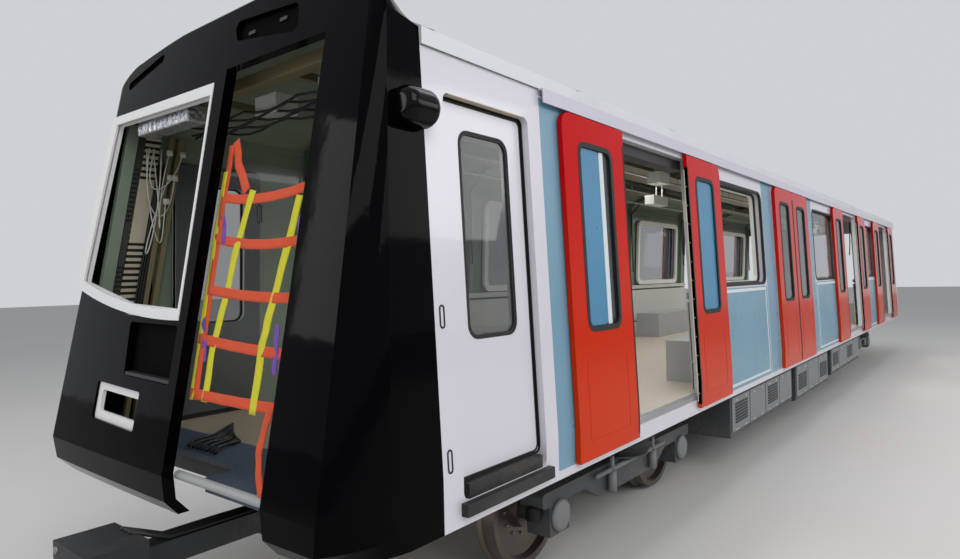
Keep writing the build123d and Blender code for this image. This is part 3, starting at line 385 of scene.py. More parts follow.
def perforated_material(name, colour, pitch_y, pitch_z):
    """Sheet metal with rows of slots, painted dark as the shade seen through them."""
    made = Nodes(name)
    bands = []
    for letter, pitch, half in (("Z", pitch_z, 0.24), ("Y", pitch_y, 0.28)):
        share = made.math("FRACT", made.math("MULTIPLY", made.axis(letter), 1 / pitch))
        bands.append(made.math("LESS_THAN", made.math("ABSOLUTE", made.math("SUBTRACT", share, 0.5)), half))
    hole = made.math("MULTIPLY", *bands)
    base = made.mix(made.noise(9.0, 5.0), shade(colour, 0.85), shade(colour, 1.1))
    # painted shade in the slots
    made.colour(made.mix(hole, base, SLOT_SHADE))
    made.roughness(0.5, 0.1)
    made.bump(made.math("SUBTRACT", 1.0, hole), 0.003)
    made.shader.inputs["Metallic"].default_value = 0.3


perforated_material("slotted_pale", (196, 188, 166), 0.045, 0.042)
perforated_material("slotted_dark", (60, 62, 56), 0.03, 0.032)


# Outlines and paths

def circle(radius, count, start=0):
    """Points (across, up) evenly round a circle, the first one at an angle in degrees."""
    angles = [math.radians(start + 360 * step / count) for step in range(count)]
    return [(radius * math.cos(angle), radius * math.sin(angle)) for angle in angles]


def curve(count, point):
    """Points of a path, each from a function of the share of the path that lies behind it."""
    return [point(step / count) for step in range(count + 1)]


def crossings(outline, height):
    """Where a closed outline meets a height."""
    found = []
    for (a0, b0), (a1, b1) in zip(outline, outline[1:] + outline[:1]):
        if abs(b0 - height) < 1e-5:
            found.append(a0)
        if (b0 - height) * (b1 - height) < 0:
            found.append(a0 + (a1 - a0) * (height - b0) / (b1 - b0))
    return found


def rounded(a_low, a_high, b_low, b_high, radius, steps=5):
    """Rounded rectangle outline, with a point on each upright where the wall bends."""
    corners = [(a_high - radius, b_high - radius, 0), (a_low + radius, b_high - radius, 90),
               (a_low + radius, b_low + radius, 180), (a_high - radius, b_low + radius, 270)]
    bends = b_low + radius < WAIST < b_high - radius
    points = []
    for index, (a, b, start) in enumerate(corners):
        if index == 2 and bends:
            points.append((a_low, WAIST))
        for step in range(steps + 1):
            angle = math.radians(start + 90 * step / steps)
            points.append((a + radius * math.cos(angle), b + radius * math.sin(angle)))
    return points + [(a_high, WAIST)] if bends else points


def grown(box, margin, radius):
    """Rounded outline of a box (along low, high, up low, high) made larger by a margin all round."""
    return rounded(box[0] - margin, box[1] + margin, box[2] - margin, box[3] + margin, radius)


def on_side(sign, base=0):
    """Placing on a side wall: along, up, and out from a face that stands off the skin."""
    return lambda x, z, out: (x, sign * (skin_at(z) + base + out), z)


def square_to(along):
    """Two directions square to a direction and to each other."""
    helper = Vector((0, 0, 1)) if abs(along.z) < 0.9 else Vector((1, 0, 0))
    first = along.cross(helper).normalized()
    return first, along.cross(first)


# Meshes
WELD = 0.00001
BEVEL_FROM = math.radians(40)


class Piece:
    """Collects plates, rings, boxes and tubes into one mesh object."""

    def __init__(self, name, material, slot, body="carbody"):
        self.name, self.material, self.body, self.slot = name, material, body, slot
        self.points, self.faces = [], []

    def patch(self, rows, closed=False):
        """Grid of quads through rows of points."""
        start = len(self.points)
        width = len(rows[0])
        for row in rows:
            self.points += [tuple(point) for point in row]
        for i in range(len(rows) - 1):
            for j in range(width if closed else width - 1):
                a = start + i * width + j
                b = start + i * width + (j + 1) % width
                self.faces.append((a, b, b + width, a + width))

    def cap(self, row, flip=False):
        start = len(self.points)
        self.points += [tuple(point) for point in row]
        face = tuple(range(start, start + len(row)))
        self.faces.append(face[::-1] if flip else face)

    def loft(self, rings):
        """Closed skin through rings of points, with a face at each end."""
        self.patch(rings, closed=True)
        self.cap(rings[0], flip=True)
        self.cap(rings[-1])

    def box(self, low, high):
        (x0, y0, z0), (x1, y1, z1) = low, high
        start = len(self.points)
        self.points += [(x0, y0, z0), (x1, y0, z0), (x1, y1, z0), (x0, y1, z0),
                        (x0, y0, z1), (x1, y0, z1), (x1, y1, z1), (x0, y1, z1)]
        for face in ((0, 3, 2, 1), (4, 5, 6, 7), (0, 1, 5, 4), (1, 2, 6, 5), (2, 3, 7, 6), (3, 0, 4, 7)):
            self.faces.append(tuple(start + i for i in face))

    def side_box(self, sign, along, out, up):
        """Box on one side of the car: its reach along, out from the middle plane and up."""
        near, far = sorted((sign * out[0], sign * out[1]))
        self.box((along[0], near, up[0]), (along[1], far, up[1]))

    def tube(self, path, radius, sides=10, ends=True):
        """Round bar along a path of points."""
        points = [Vector(point) for point in path]
        rings = []
        for i, point in enumerate(points):
            before = points[max(0, i - 1)]
            after = points[min(len(points) - 1, i + 1)]
            u, v = square_to((after - before).normalized())
            rings.append([point + a * u + b * v for a, b in circle(radius, sides)])
        if ends:
            self.loft(rings)
        else:
            self.patch(rings, closed=True)

    def turned(self, centre, axis, profile, sides=24):
        """Body of revolution: profile holds (distance along the axis, radius)."""
        centre, along = Vector(centre), Vector(axis).normalized()
        u, v = square_to(along)
        self.loft([[centre + reach * along + a * u + b * v for a, b in circle(radius, sides)]
                   for reach, radius in profile])

    def strip(self, outer, inner, place, low, high):
        """Ring between two matching outlines, from depth low to depth high."""
        loops = [(outer, low), (outer, high), (inner, high), (inner, low), (outer, low)]
        self.patch([[place(a, b, depth) for a, b in loop] for loop, depth in loops], closed=True)

    def ring(self, box, outer, inner, place, low, high):
        """Ring round an opening: outer and inner margin, each with its corner radius, and two depths."""
        self.strip(grown(box, *outer), grown(box, *inner), place, low, high)

    def plate(self, outline, place, low, high):
        """Solid plate with a convex outline, built in rows so that it can bend at the waist."""
        rows = []
        for height in sorted({round(b, 5) for _, b in outline}):
            across = crossings(outline, height)
            rows.append((min(across), max(across), height))
        for depth in (low, high):
            self.patch([[place(a, h, depth), place(b, h, depth)] for a, b, h in rows])
        edge = [(a, h) for a, _, h in rows] + [(b, h) for _, b, h in reversed(rows)]
        self.patch([[place(a, b, low) for a, b in edge], [place(a, b, high) for a, b in edge]], closed=True)

    def build(self, bevel=0.0, smooth=False):
        """Mesh object with welded points and outward faces, riding on its body."""
        mesh = bpy.data.meshes.new(self.name)
        mesh.from_pydata(self.points, [], self.faces)
        mesh.validate()
        item = in_scene(self.name, mesh)
        bpy.context.view_layer.objects.active = item
        mesh.materials.append(finishes[self.material])
        work = bmesh.new()
        work.from_mesh(mesh)
        bmesh.ops.remove_doubles(work, verts=work.verts, dist=WELD)
        bmesh.ops.recalc_face_normals(work, faces=work.faces)
        work.to_mesh(mesh)
        work.free()
        if bevel:
            modifier = item.modifiers.new("edges", "BEVEL")
            modifier.width = bevel
            modifier.segments = 2
            modifier.limit_method = "ANGLE"
            modifier.angle_limit = BEVEL_FROM
        if smooth:
            mesh.shade_smooth()
        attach(item, self.body)
        return item


# CAD nodes take their finishes
FINISHES = {
    "under_dark": ("underframe", "rear_drawbar", "front_coupler"),
    "under_grey": ("underfloor_cases", "bogie_frame_front", "bogie_frame_rear"),
    "body_white": ("side_wall_left", "side_wall_right"),
    "cab_door_white": ("cab_door_left", "cab_door_right"),
    "light_grey": ("roof_units", "rear_end", "seat_risers"),
    "satin_black": ("window_frames", "door_headers", "cab_steps_and_tie_bar"),
    "floor_sheet": ("floor",), "roof_white": ("roof",), "gloss_black": ("cab_mask",),
    "flange_white": ("screen_flanges",), "pod_black": ("side_pods",), "gasket": ("gangway_bellows",),
    "primer_green": ("body_frames",), "side_glass": ("side_glass",), "rail_shaded_white": ("door_rails",),
    "tread_plate": ("thresholds",), "tray_metal": ("ceiling_services",), "strap_orange": ("doorway_net",),
}
finish_of = {node: finish for finish, group in FINISHES.items() for node in group}
for name, node in nodes.items():
    usual = "door_red" if name.startswith("leaf_") else "wheel_metal"
    finish = finish_of.get(name, usual)
    node.data.materials.clear()
    node.data.materials.append(finishes[finish])


# Film over the lower panels and the strips beside the doorways, with tape inside the panels' edges
FILM_LOW = 0.90
FILM_STRIPS = [(6.30, 7.055, 3.05), (2.24, 2.62, 3.04), (0.20, 0.58, 3.04)]
FILM_PANELS = [(2.64, 4.66), (-1.80, 0.18), (-5.88, -3.54), (-8.62, -7.60)]
FILM_PANEL_HIGH = WINDOW_LOW - 0.03
FILM_DEPTHS = (-0.0002, 0.0006)
TAPE_DEPTHS = (0.0006, 0.0012)
TAPE_WIDTH = 0.025
TAPE_CORNER = 0.006
TAPE_LINES = ((WINDOW_LOW - 0.075, WINDOW_LOW - 0.045), (0.93, 0.955))
for side, sign in SIDES:
    place = on_side(sign)
    film = Piece(f"film_{side}", "film_blue", "white")
    for x_low, x_high, high in FILM_STRIPS:
        film.plate(rounded(x_low, x_high, FILM_LOW, high, 0.01), place, *FILM_DEPTHS)
    for x_low, x_high in FILM_PANELS:
        film.plate(rounded(x_low, x_high, FILM_LOW, FILM_PANEL_HIGH, 0.03), place, *FILM_DEPTHS)
    film.build()
    tape = Piece(f"tape_{side}", "tape_pale", "white")
    for x_low, x_high in FILM_PANELS:
        for low, high in TAPE_LINES:
            tape.plate(rounded(x_low + 0.04, x_high - 0.04, low, high, TAPE_CORNER), place, *TAPE_DEPTHS)
        for x in (x_low + 0.05, x_high - 0.05 - TAPE_WIDTH):
            outline = rounded(x, x + TAPE_WIDTH, 0.96, WINDOW_LOW - 0.08, TAPE_CORNER)
            tape.plate(outline, place, *TAPE_DEPTHS)
    tape.build()


def leaf_corner(tag, body, outside, lead, inward):
    """Square upper corner at the leading edge of a door leaf, filling the round one."""
    rings = []
    depth = LEAF_STAND_OFF - LEAF_OUTSIDE
    for across, up in circle(LEAF_CORNER, 32)[:9]:
        x = lead + inward * (LEAF_CORNER - up)
        z = LEAF_HIGH - LEAF_CORNER + across
        rings.append([outside(lead, LEAF_HIGH, 0), outside(x, z, 0), outside(x, z, depth),
                      outside(lead, LEAF_HIGH, depth)])
    corner = Piece(f"leaf_corner_{tag}", "door_red", "red", body)
    corner.loft(rings)
    corner.build()


# Door leaves: window surround, glass, film on the glass, edge seal, pressed panel, studs and square corner
GLASS_FACE = LEAF_OUTSIDE - 0.012
FILM_ON_GLASS = (1.694, 2.80)
EDGE_SEAL = 0.018
STUDS = 12
STUD_LOW = 1.02
STUD_PITCH = 0.155


def dress_leaf(side, sign, number, end, start, cover):
    """All that one door leaf carries; start is its rear edge."""
    tag = f"{side}_{number}_{end}"
    body = f"leaf_{tag}"
    inside, outside = on_side(sign, LEAF_STAND_OFF), on_side(sign, LEAF_OUTSIDE)
    glass = on_side(sign, GLASS_FACE)
    lead = start if end == "fore" else start + LEAF_WIDTH
    inward = 1 if end == "fore" else -1
    x_low, x_high = start + LEAF_WINDOW[0], start + LEAF_WINDOW[1]
    window = (x_low, x_high, LEAF_WINDOW[2], LEAF_WINDOW[3])
    surround = Piece(f"surround_{tag}", "gasket", "rubber", body)
    surround.ring(window, (0.012, 0.08), (-0.022, 0.05), outside, -0.0005, 0.002)
    surround.ring(window, (0, 0.07), (-0.022, 0.05), outside, -0.03, -0.0005)
    low, high = sorted((lead, lead + inward * EDGE_SEAL))
    surround.plate(rounded(low, high, LEAF_LOW + 0.03, LEAF_HIGH - 0.1, 0.004), outside, -0.028, 0.0015)
    surround.build()
    pane = Piece(f"pane_{tag}", "leaf_glass", "glass", body)
    pane.plate(grown(window, -0.018, 0.05), glass, -0.006, 0)
    pane.build()
    if cover == "film":
        sheet = Piece(f"glass_film_{tag}", "film_deep", "white", body)
        covered = x_low + 0.15 if end == "fore" else x_low + 0.024
        sheet.plate(rounded(covered, x_high - 0.024, *FILM_ON_GLASS, 0.04), glass, 0.0001, 0.0008)
        sheet.build()
        if end == "fore":
            edge = Piece(f"glass_tape_{side}_{number}", "tape_pale", "white", body)
            edge.plate(rounded(covered - 0.05, covered + 0.004, *FILM_ON_GLASS, 0.004), glass, 0.0002, 0.001)
            edge.build()
    pressing = Piece(f"pressing_{tag}", "door_red", "red", body)
    panel = (start + 0.13, start + 0.67, 1.0, 1.5)
    pressing.ring(panel, (0, 0.03), (-0.012, 0.022), outside, -0.0004, 0.0016)
    pressing.build()
    strip = Piece(f"edge_strip_{tag}", "cream", "white", body)
    near, far = sorted((lead, lead - inward * 0.002))
    strip.plate(rounded(near, far, LEAF_LOW + 0.05, LEAF_HIGH - 0.12, 0.0009, 1), inside, 0.0005, 0.0075)
    for step in range(STUDS):
        spot = inside(lead, STUD_LOW + STUD_PITCH * step, 0.017)
        strip.turned(spot, (-inward, 0, 0), [(0, 0.0045), (0.0022, 0.004)], 8)
    strip.build()
    leaf_corner(tag, body, outside, lead, inward)


for side, sign in SIDES:
    for number, centre, gap, cover in DOORWAYS:
        dress_leaf(side, sign, number, "fore", centre + gap, cover)
        dress_leaf(side, sign, number, "aft", centre - gap - LEAF_WIDTH, cover)


def side_window(centre):
    """Opening of a side window: along and up."""
    return (centre - WINDOW_WIDTH / 2, centre + WINDOW_WIDTH / 2, WINDOW_LOW, WINDOW_HIGH)


# Seals round the side windows, outside
for side, sign in SIDES:
    place = on_side(sign)
    seals = Piece(f"window_seals_{side}", "gasket", "rubber")
    for centre in WINDOW_CENTRES:
        seals.ring(side_window(centre), (0.016, 0.105), (-0.012, 0.078), place, -0.0004, 0.004)
        seals.ring(side_window(centre), (0, 0.09), (-0.012, 0.078), place, -0.02, -0.0004)
    seals.build()

# Cab side doors: window glass with its printed border, seals, painted shade in tan on the doorway's head,
# and the hand-holds
CAB_WINDOW = (7.330, 7.730, 1.706, 2.740)
CAB_DOOR = (7.192, 7.878, 1.042, 2.878)
CAB_DOORWAY = (7.180, 7.890, 1.034, 2.890)
CAB_DOOR_FACE = -0.05
DOORWAY_HEAD = (7.222, 7.848, 2.8864, 2.8899)
HAND_HOLDS = [(7.962, 7.998, height - 0.055, height + 0.055) for height in (1.83, 1.17)]
for side, sign in SIDES:
    body = f"cab_door_{side}"
    place, face = on_side(sign), on_side(sign, CAB_DOOR_FACE)
    pane = Piece(f"cab_pane_{side}", "side_glass", "glass", body)
    pane.plate(grown(CAB_WINDOW, -0.006, 0.064), face, -0.014, -0.008)
    pane.build()
    border = Piece(f"cab_pane_border_{side}", "gasket", "rubber", body)
    border.ring(CAB_WINDOW, (0, 0.07), (-0.013, 0.058), face, -0.018, -0.0004)
    border.ring(CAB_WINDOW, (0.008, 0.075), (-0.002, 0.068), face, -0.0002, 0.0015)
    border.build()
    seal = Piece(f"cab_door_seal_{side}", "gasket", "rubber", body)
    seal.ring(CAB_DOOR, (0, 0.034), (-0.012, 0.03), face, -0.038, 0.0004)
    seal.build()
    frame_seal = Piece(f"cab_doorway_seal_{side}", "gasket", "rubber")
    frame_seal.ring(CAB_DOORWAY, (0, 0.04), (-0.006, 0.036), face, -0.01, 0.01)
    frame_seal.build()
    # painted shade in tan on the white head of the doorway
    reveal = Piece(f"cab_doorway_reveal_{side}", "reveal_painted_shade", "white")
    reveal.plate(rounded(*DOORWAY_HEAD, 0.001, 1), place, -0.0398, -0.0006)
    reveal.build()
    holds = Piece(f"hand_holds_{side}", "gasket", "rubber")
    for hold in HAND_HOLDS:
        holds.ring(hold, (0, 0.0175), (-0.008, 0.0095), place, -0.0005, 0.003)
    holds.build()

# Doorway net: woven straps that sag a little between their ends, with ties at the jambs
NET_DEPTH = 0.0724816
STRAP_THICK = 0.002
STRAP_WAVE = 0.0016
STRAP_STEPS = 12


def strap(piece, path, width, seed):
    """Flat strap along a path of (y, height) behind the open front doorway, slightly twisted and wavy."""
    phase = random.Random(seed).uniform(0, 6.28)
    spots = []
    for (y0, z0), (y1, z1) in zip(path, path[1:]):
        for step in range(STRAP_STEPS):
            t = step / STRAP_STEPS
            spots.append((y0 + (y1 - y0) * t, z0 + (z1 - z0) * t))
    spots.append(path[-1])
    front = []
    for index, (y, z) in enumerate(spots):
        y_a, z_a = spots[max(0, index - 1)]
        y_b, z_b = spots[min(len(spots) - 1, index + 1)]
        run = math.hypot(y_b - y_a, z_b - z_a) or 1
        across_y, across_z = -(z_b - z_a) / run, (y_b - y_a) / run
        sway = STRAP_WAVE * math.sin(phase + index * 0.55)
        row = []
        for step in range(5):
            share = step / 4 - 0.5
            cup = 1.2 * STRAP_WAVE * share * math.sin(phase + index * 0.4)
            height = z + across_z * share * width
            row.append((face_at(height) - NET_DEPTH + sway + cup, y + across_y * share * width, height))
        front.append(row)
    back = [[(x - STRAP_THICK, y, z) for x, y, z in row] for row in front]
    piece.patch(front)
    piece.patch([row[::-1] for row in back])
    for column in (0, 4):
        piece.patch([[row[column] for row in front], [row[column] for row in back]])
    for row in (0, -1):
        piece.patch([front[row], back[row]])


# Crosses: height at the near jamb, height at the far jamb, sag. Every other strap: points across and up.
CROSSES = [
    (2.46, 2.452, 0.035), (2.243, 2.197, 0.03), (1.975, 1.93, 0.012), (1.725, 1.682, 0.008),
    (1.452, 1.449, 0.004),
]
NET_NEAR = 0.16
NET_WIDTH = 0.80
STRAP = 0.05
YELLOW_LINES = [
    [(0.455, 2.471), (0.385, 2.20), (0.351, 1.921), (0.304, 1.697), (0.302, 1.42)],
    [(0.857, 2.406), (0.80, 2.10), (0.744, 1.831), (0.725, 1.716), (0.726, 1.405)],
    [(0.165, 2.60), (0.160, 2.30), (0.165, 2.0), (0.172, 1.42)],
]
TIES = [(0.23, 2.31, 0.06), (0.22, 1.71, 0.05), (0.90, 2.19, 0.02), (0.84, 1.69, 0.02)]
net_orange = Piece("net_crosses", "strap_orange", "strap")
for index, (near, far, sag) in enumerate(CROSSES):
    line = curve(5, lambda t: (NET_NEAR + NET_WIDTH * t, near + (far - near) * t - sag * 4 * t * (1 - t)))
    strap(net_orange, line, STRAP, index)
strap(net_orange, [(0.185, 2.744), (0.19, 2.3), (0.20, 1.9), (0.215, 1.422)], STRAP, 11)
strap(net_orange, [(0.855, 1.449), (0.83, 1.34), (0.815, 1.244), (0.85, 1.13), (0.88, 1.075)], 0.045, 12)
strap(net_orange, [(0.225, 2.76), (0.285, 2.62), (0.40, 2.47)], 0.06, 13)
straps = net_orange.build(smooth=True)
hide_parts("doorway_net")
net_yellow = Piece("net_uprights", "strap_yellow", "strap")
for index, line in enumerate(YELLOW_LINES):
    strap(net_yellow, line, 0.055 if index < 2 else 0.04, 20 + index)
net_yellow.build(smooth=True)
ties = Piece("net_ties", "strap_purple", "strap")
for index, (y, z, tilt) in enumerate(TIES):
    strap(ties, [(y - tilt, z + 0.12), (y, z), (y + tilt * 0.4, z - 0.1)], 0.035, 30 + index)
ties.build(smooth=True)

# Cab inside: what stands along the right cheek behind the screen, raked like the front
CHEEK_RAKE = 0.165
CHEEK_DEPTH = 0.075
CHEEK_HEIGHT = 3.0


def on_cheek(x, z, out=0.0):
    """Point just inside the right cheek, x given at CHEEK_HEIGHT and following the rake down."""
    return (x + CHEEK_RAKE * (CHEEK_HEIGHT - z), -(skin_at(z) - CHEEK_DEPTH - out), z)


def cheek_strip(piece, x_low, x_high, z_low, z_high, thick):
    """Raked upright plate on the right cheek."""
    piece.loft([[on_cheek(x_low, z), on_cheek(x_high, z), on_cheek(x_high, z, thick),
                 on_cheek(x_low, z, thick)] for z in curve(8, lambda t: z_low + (z_high - z_low) * t)])


# name, material, slot, bevel, thickness, then rear X, front X, foot and top of each strip
CHEEK_STRIPS = [
    ("cheek_pillar", "primer_green", "primer", 0.004, 0.05, [(8.150, 8.225, 1.10, 3.10)]),
    ("cab_tray_narrow", "slotted_dark", "bright", 0.002, 0.03, [(8.098, 8.140, 1.45, 3.02)]),
    ("cab_tray_wide", "slotted_pale", "bright", 0.002, 0.02, [(7.985, 8.088, 1.45, 3.04)]),
    ("cab_posts_olive", "olive", "primer", 0.003, 0.04,
     [(7.835, 7.870, 1.05, 3.05), (7.9, 7.935, 1.05, 3.05)]),
]
for name, material, slot, bevel, thick, strips in CHEEK_STRIPS:
    upright = Piece(name, material, slot)
    for spans in strips:
        cheek_strip(upright, *spans, thick)
    upright.build(bevel=bevel)
drops = Piece("cab_cable_drops", "cable_black", "dark")
for index in range(4):
    x = 7.93 + 0.017 * index
    drops.tube([on_cheek(x, 1.3, 0.03), on_cheek(x + 0.006, 1.9, 0.035), on_cheek(x - 0.004, 2.4, 0.03),
                on_cheek(x, 2.85, 0.035)], 0.006, 8)
drops.build(smooth=True)
loops = Piece("cab_cable_loops", "cable_pale", "dark")
for index in range(5):
    drop = 0.28 + 0.09 * index
    cable = curve(24, lambda t: on_cheek(
        8.04 - 0.16 * t + 0.05 * math.sin(5 * t + index),
        2.95 - drop * math.sin(math.pi * t) - 0.35 * t * (index % 3) / 2,
        0.06 + 0.02 * math.sin(4 * t + 2 * index)))
    loops.tube(cable, 0.0042, 8)
    plug = Vector(cable[-1])
    loops.box(plug - Vector((0.018, 0.012, 0.03)), plug + Vector((0.018, 0.012, 0.01)))
loops.build(smooth=True)
wrap = Piece("screen_head_box", "foil_wrap", "bright")
wrap.box((8.10, -1.06, 2.985), (8.225, -0.41, 3.105))
wrap.build(bevel=0.012)

# Deck ahead of the cab floor, the round cover of the tie bar and the looms on the deck
DECK_RIGHT, DECK_LEFT, DECK_FRONT = 0.16, 0.955, 8.47
deck = Piece("cab_deck", "floor_sheet", "floor")
deck.box((7.95, DECK_RIGHT, FLOOR_TOP + 0.0002), (DECK_FRONT, DECK_LEFT, FLOOR_TOP + 0.005))
deck.box((8.24, DECK_RIGHT, 0.93), (DECK_FRONT, DECK_LEFT, FLOOR_TOP))
deck.build(bevel=0.002)
bar = Piece("tie_bar_cover", "light_grey", "bright")
bar.tube([(8.60, 0.142, 1.05), (8.60, 0.968, 1.05)], 0.0225, 20)
bar.build(bevel=0.001)
looms = Piece("deck_looms", "cable_black", "dark")
for index in range(7):
    y = -0.62 + 0.05 * index
    looms.tube([(7.70 + 0.03 * index, y - 0.25, 1.012), (7.95, y - 0.05 + 0.02 * (index % 2), 1.013),
                (8.12, y + 0.03 * (index % 3), 1.02), (8.20, y + 0.10, 1.016)], 0.010, 8)
looms.build(smooth=True)


def on_face(depth):
    """Placing on the raked cab front: across, up, and out from a plane at a depth behind the face."""
    return lambda y, z, out: (face_at(z) - depth + out, y, z)


def flange_edge(top, y_start, y_end, low, bend):
    """Outline of the flange: its top corners, then the arc of the lower edge."""
    across = curve(14, lambda t: y_start + (y_end - y_start) * t)
    return top + [(y, low + bend * y ** 2) for y in across]


# Face of the screen flange, its lower edge one smooth arc
flange_face = Piece("screen_flange_face", "flange_white", "white")
flange_face.strip(flange_edge([(-1.25, 3.13), (0.03, 3.108)], 0.062, -1.335, 1.817, 0.1044),
                  flange_edge([(-1.17, 3.07), (0.012, 3.04)], 0.038, -1.245, 1.875, 0.1071), on_face(0.0),
                  -0.010, 0.0045)
flange_face.build(bevel=0.001)

# Floors of the recesses in the face: dull black panels, small brackets and a lower lip
LAMP_RECESS = [(0.06, 1.49), (0.06, 1.79), (-0.49, 1.80), (-0.46, 1.505)]
LAMP_LIP = [(-0.45, 1.508), (0.055, 1.494), (0.055, 1.512), (-0.452, 1.526)]
SIGN_RECESS = [(0.20, 3.305), (0.75, 3.222), (0.72, 3.38), (0.15, 3.425)]
SLOT_RECESS = [(-1.11, 3.30), (-0.68, 3.392), (-0.60, 3.462), (-1.16, 3.35)]
floors = Piece("recess_floors", "dull_black", "black")
for outline, depth in ((LAMP_RECESS, 0.048), (SIGN_RECESS, 0.033), (SLOT_RECESS, 0.033)):
    floors.plate(outline, on_face(depth), -0.001, 0.001)
floors.build()
lip = Piece("recess_brackets", "satin_black", "dark")
lip.plate(LAMP_LIP, on_face(0.02), -0.02, 0.016)
for y in (0.30, 0.58):
    lip.plate(rounded(y - 0.03, y + 0.03, 3.325, 3.345, 0.004, 2), on_face(0.026), -0.004, 0.004)
lip.build()

# Head of the cab: a pale cross beam behind the brow, looms along it and fittings under the roof
head = Piece("cab_head_beam", "olive", "primer")
head.box((8.02, -0.98, 3.12), (8.10, 0.98, 3.19))
for y in (-0.55, 0.30):
    head.box((7.62, y - 0.03, 3.15), (8.03, y + 0.03, 3.20))
head.build(bevel=0.004)
head_boxes = Piece("cab_head_boxes", "plastic_white", "white")
for x, y, length, width in ((7.70, 0.42, 0.20, 0.14), (7.74, -0.20, 0.16, 0.22), (7.50, 0.70, 0.22, 0.12)):
    head_boxes.box((x, y, 3.03), (x + length, y + width, 3.15))
head_boxes.build(bevel=0.006)
head_looms = Piece("cab_head_looms", "cable_black", "dark")
for index in range(6):
    head_looms.tube(curve(14, lambda t: (
        7.93 - 0.025 * index, -0.95 + 1.9 * t,
        3.08 - abs(0.05 * math.sin(math.pi * t * 3 + index)) - 0.012 * index)), 0.008, 8)
head_looms.build(smooth=True)

# Saloon inside: window trims, lining panels with open joints, boxes and cables under the roof
LINING_BANDS = ((1.01, 1.24), (1.262, 1.76), (1.785, 1.84))
LINING_REACH = 1.22
for side, sign in SIDES:
    place = on_side(sign)
    trims = Piece(f"window_trims_{side}", "plastic_white", "white")
    linings = Piece(f"linings_{side}", "lining_grey", "grey")
    for centre in WINDOW_CENTRES:
        trims.ring(side_window(centre), (0.04, 0.11), (-0.03, 0.07), place, -0.116, -0.0785)
        for foot, top in LINING_BANDS:
            panel = rounded(centre - LINING_REACH, centre + LINING_REACH, foot, top, 0.008, 2)
            linings.plate(panel, place, -0.1275, -0.1165)
    trims.build(bevel=0.002)
    linings.build()
    cables = Piece(f"tray_cables_{side}", "cable_black", "dark")
    for index in range(6):
        y = sign * (0.63 + 0.026 * index)
        path = curve(39, lambda t: (-8.3 + 15.2 * t, y + 0.006 * math.sin(66.3 * t + index * 2), 3.2105))
        cables.tube(path, 0.0105, 7)
    for index, x in enumerate(FRAME_PLACES[:-1]):
        y = sign * (skin_at(2.6) - 0.135)
        foot = 2.05 + 0.12 * (index % 3)
        cables.tube([(x + 0.05, sign * 0.80, 3.235), (x + 0.06, sign * 1.0, 3.19), (x + 0.05, y, 2.98),
                     (x + 0.045, y, 2.5), (x + 0.05, y - sign * 0.01, foot)], 0.009, 8)
    cables.build(smooth=True)
boxes = Piece("ceiling_boxes", "plastic_white", "white")
for centre in WINDOW_CENTRES:
    for y in (0.36, -0.50):
        boxes.box((centre - 0.46, y - 0.07, 3.03), (centre - 0.20, y + 0.09, 3.16))
        boxes.box((centre - 0.42, y - 0.03, 2.78), (centre - 0.04, y + 0.08, 2.88))
        for x in (centre - 0.40, centre - 0.24):
            boxes.tube([(x, y + 0.02, 2.87), (x, y + 0.02, 3.21)], 0.008, 8)
boxes.build(bevel=0.006)
CEILING_RAIL = 3.10
rods = Piece("ceiling_rails", "bright_metal", "bright")
for y in (-0.92, -0.30, 0.30, 0.92):
    rods.tube([(-8.2, y, CEILING_RAIL), (6.9, y, CEILING_RAIL)], 0.012, 10)
    for x in FRAME_PLACES:
        rods.tube([(x, y, CEILING_RAIL), (x, y, 3.225)], 0.007, 6)
rods.build(smooth=True)


def roof_line(x, lift):
    """Line across the roof's arc, lifted off it."""
    reach = GUTTER_HALF_WIDTH - 0.008
    across = curve(24, lambda t: reach * (2 * t - 1))
    return [(x, y, ROOF_CROWN + lift - ROOF_RADIUS + math.sqrt(ROOF_RADIUS ** 2 - y ** 2)) for y in across]


# Roof: seams of the sheets, guards over the fans and louvres along the units
SEAM_PLACES = (-7.85, -6.3, -3.1, -1.6, -0.1, 1.4, 5.1, 6.6, 7.95)
SEAM_HALF = 0.02
SEAM_LIFT = 0.003
# the seams use the white with painted shade from the door rails
seams = Piece("roof_seams", "rail_shaded_white", "white")
for x in SEAM_PLACES:
    seams.patch([roof_line(x - SEAM_HALF, -SEAM_LIFT), roof_line(x - SEAM_HALF, SEAM_LIFT),
                 roof_line(x + SEAM_HALF, SEAM_LIFT), roof_line(x + SEAM_HALF, -SEAM_LIFT)])
seams.build()
guards = Piece("fan_guards", "satin_black", "dark")
louvres = Piece("unit_louvres", "mid_grey", "grey")
for centre in ROOF_UNITS:
    for fan in (centre - FAN_OFFSET, centre + FAN_OFFSET):
        for radius in (0.10, 0.15, 0.20, 0.25, 0.30):
            ring = circle(radius, 36)
            guards.tube([(fan + x, y, 3.589) for x, y in ring + ring[:1]], 0.003, 6, ends=False)
    for side in (-1, 1):
        for step in range(22):
            x = centre - 0.92 + 0.084 * step
            louvres.side_box(side, (x, x + 0.05), (0.45, 0.53), (3.5795, 3.588))
guards.build(smooth=True)
louvres.build(bevel=0.002)

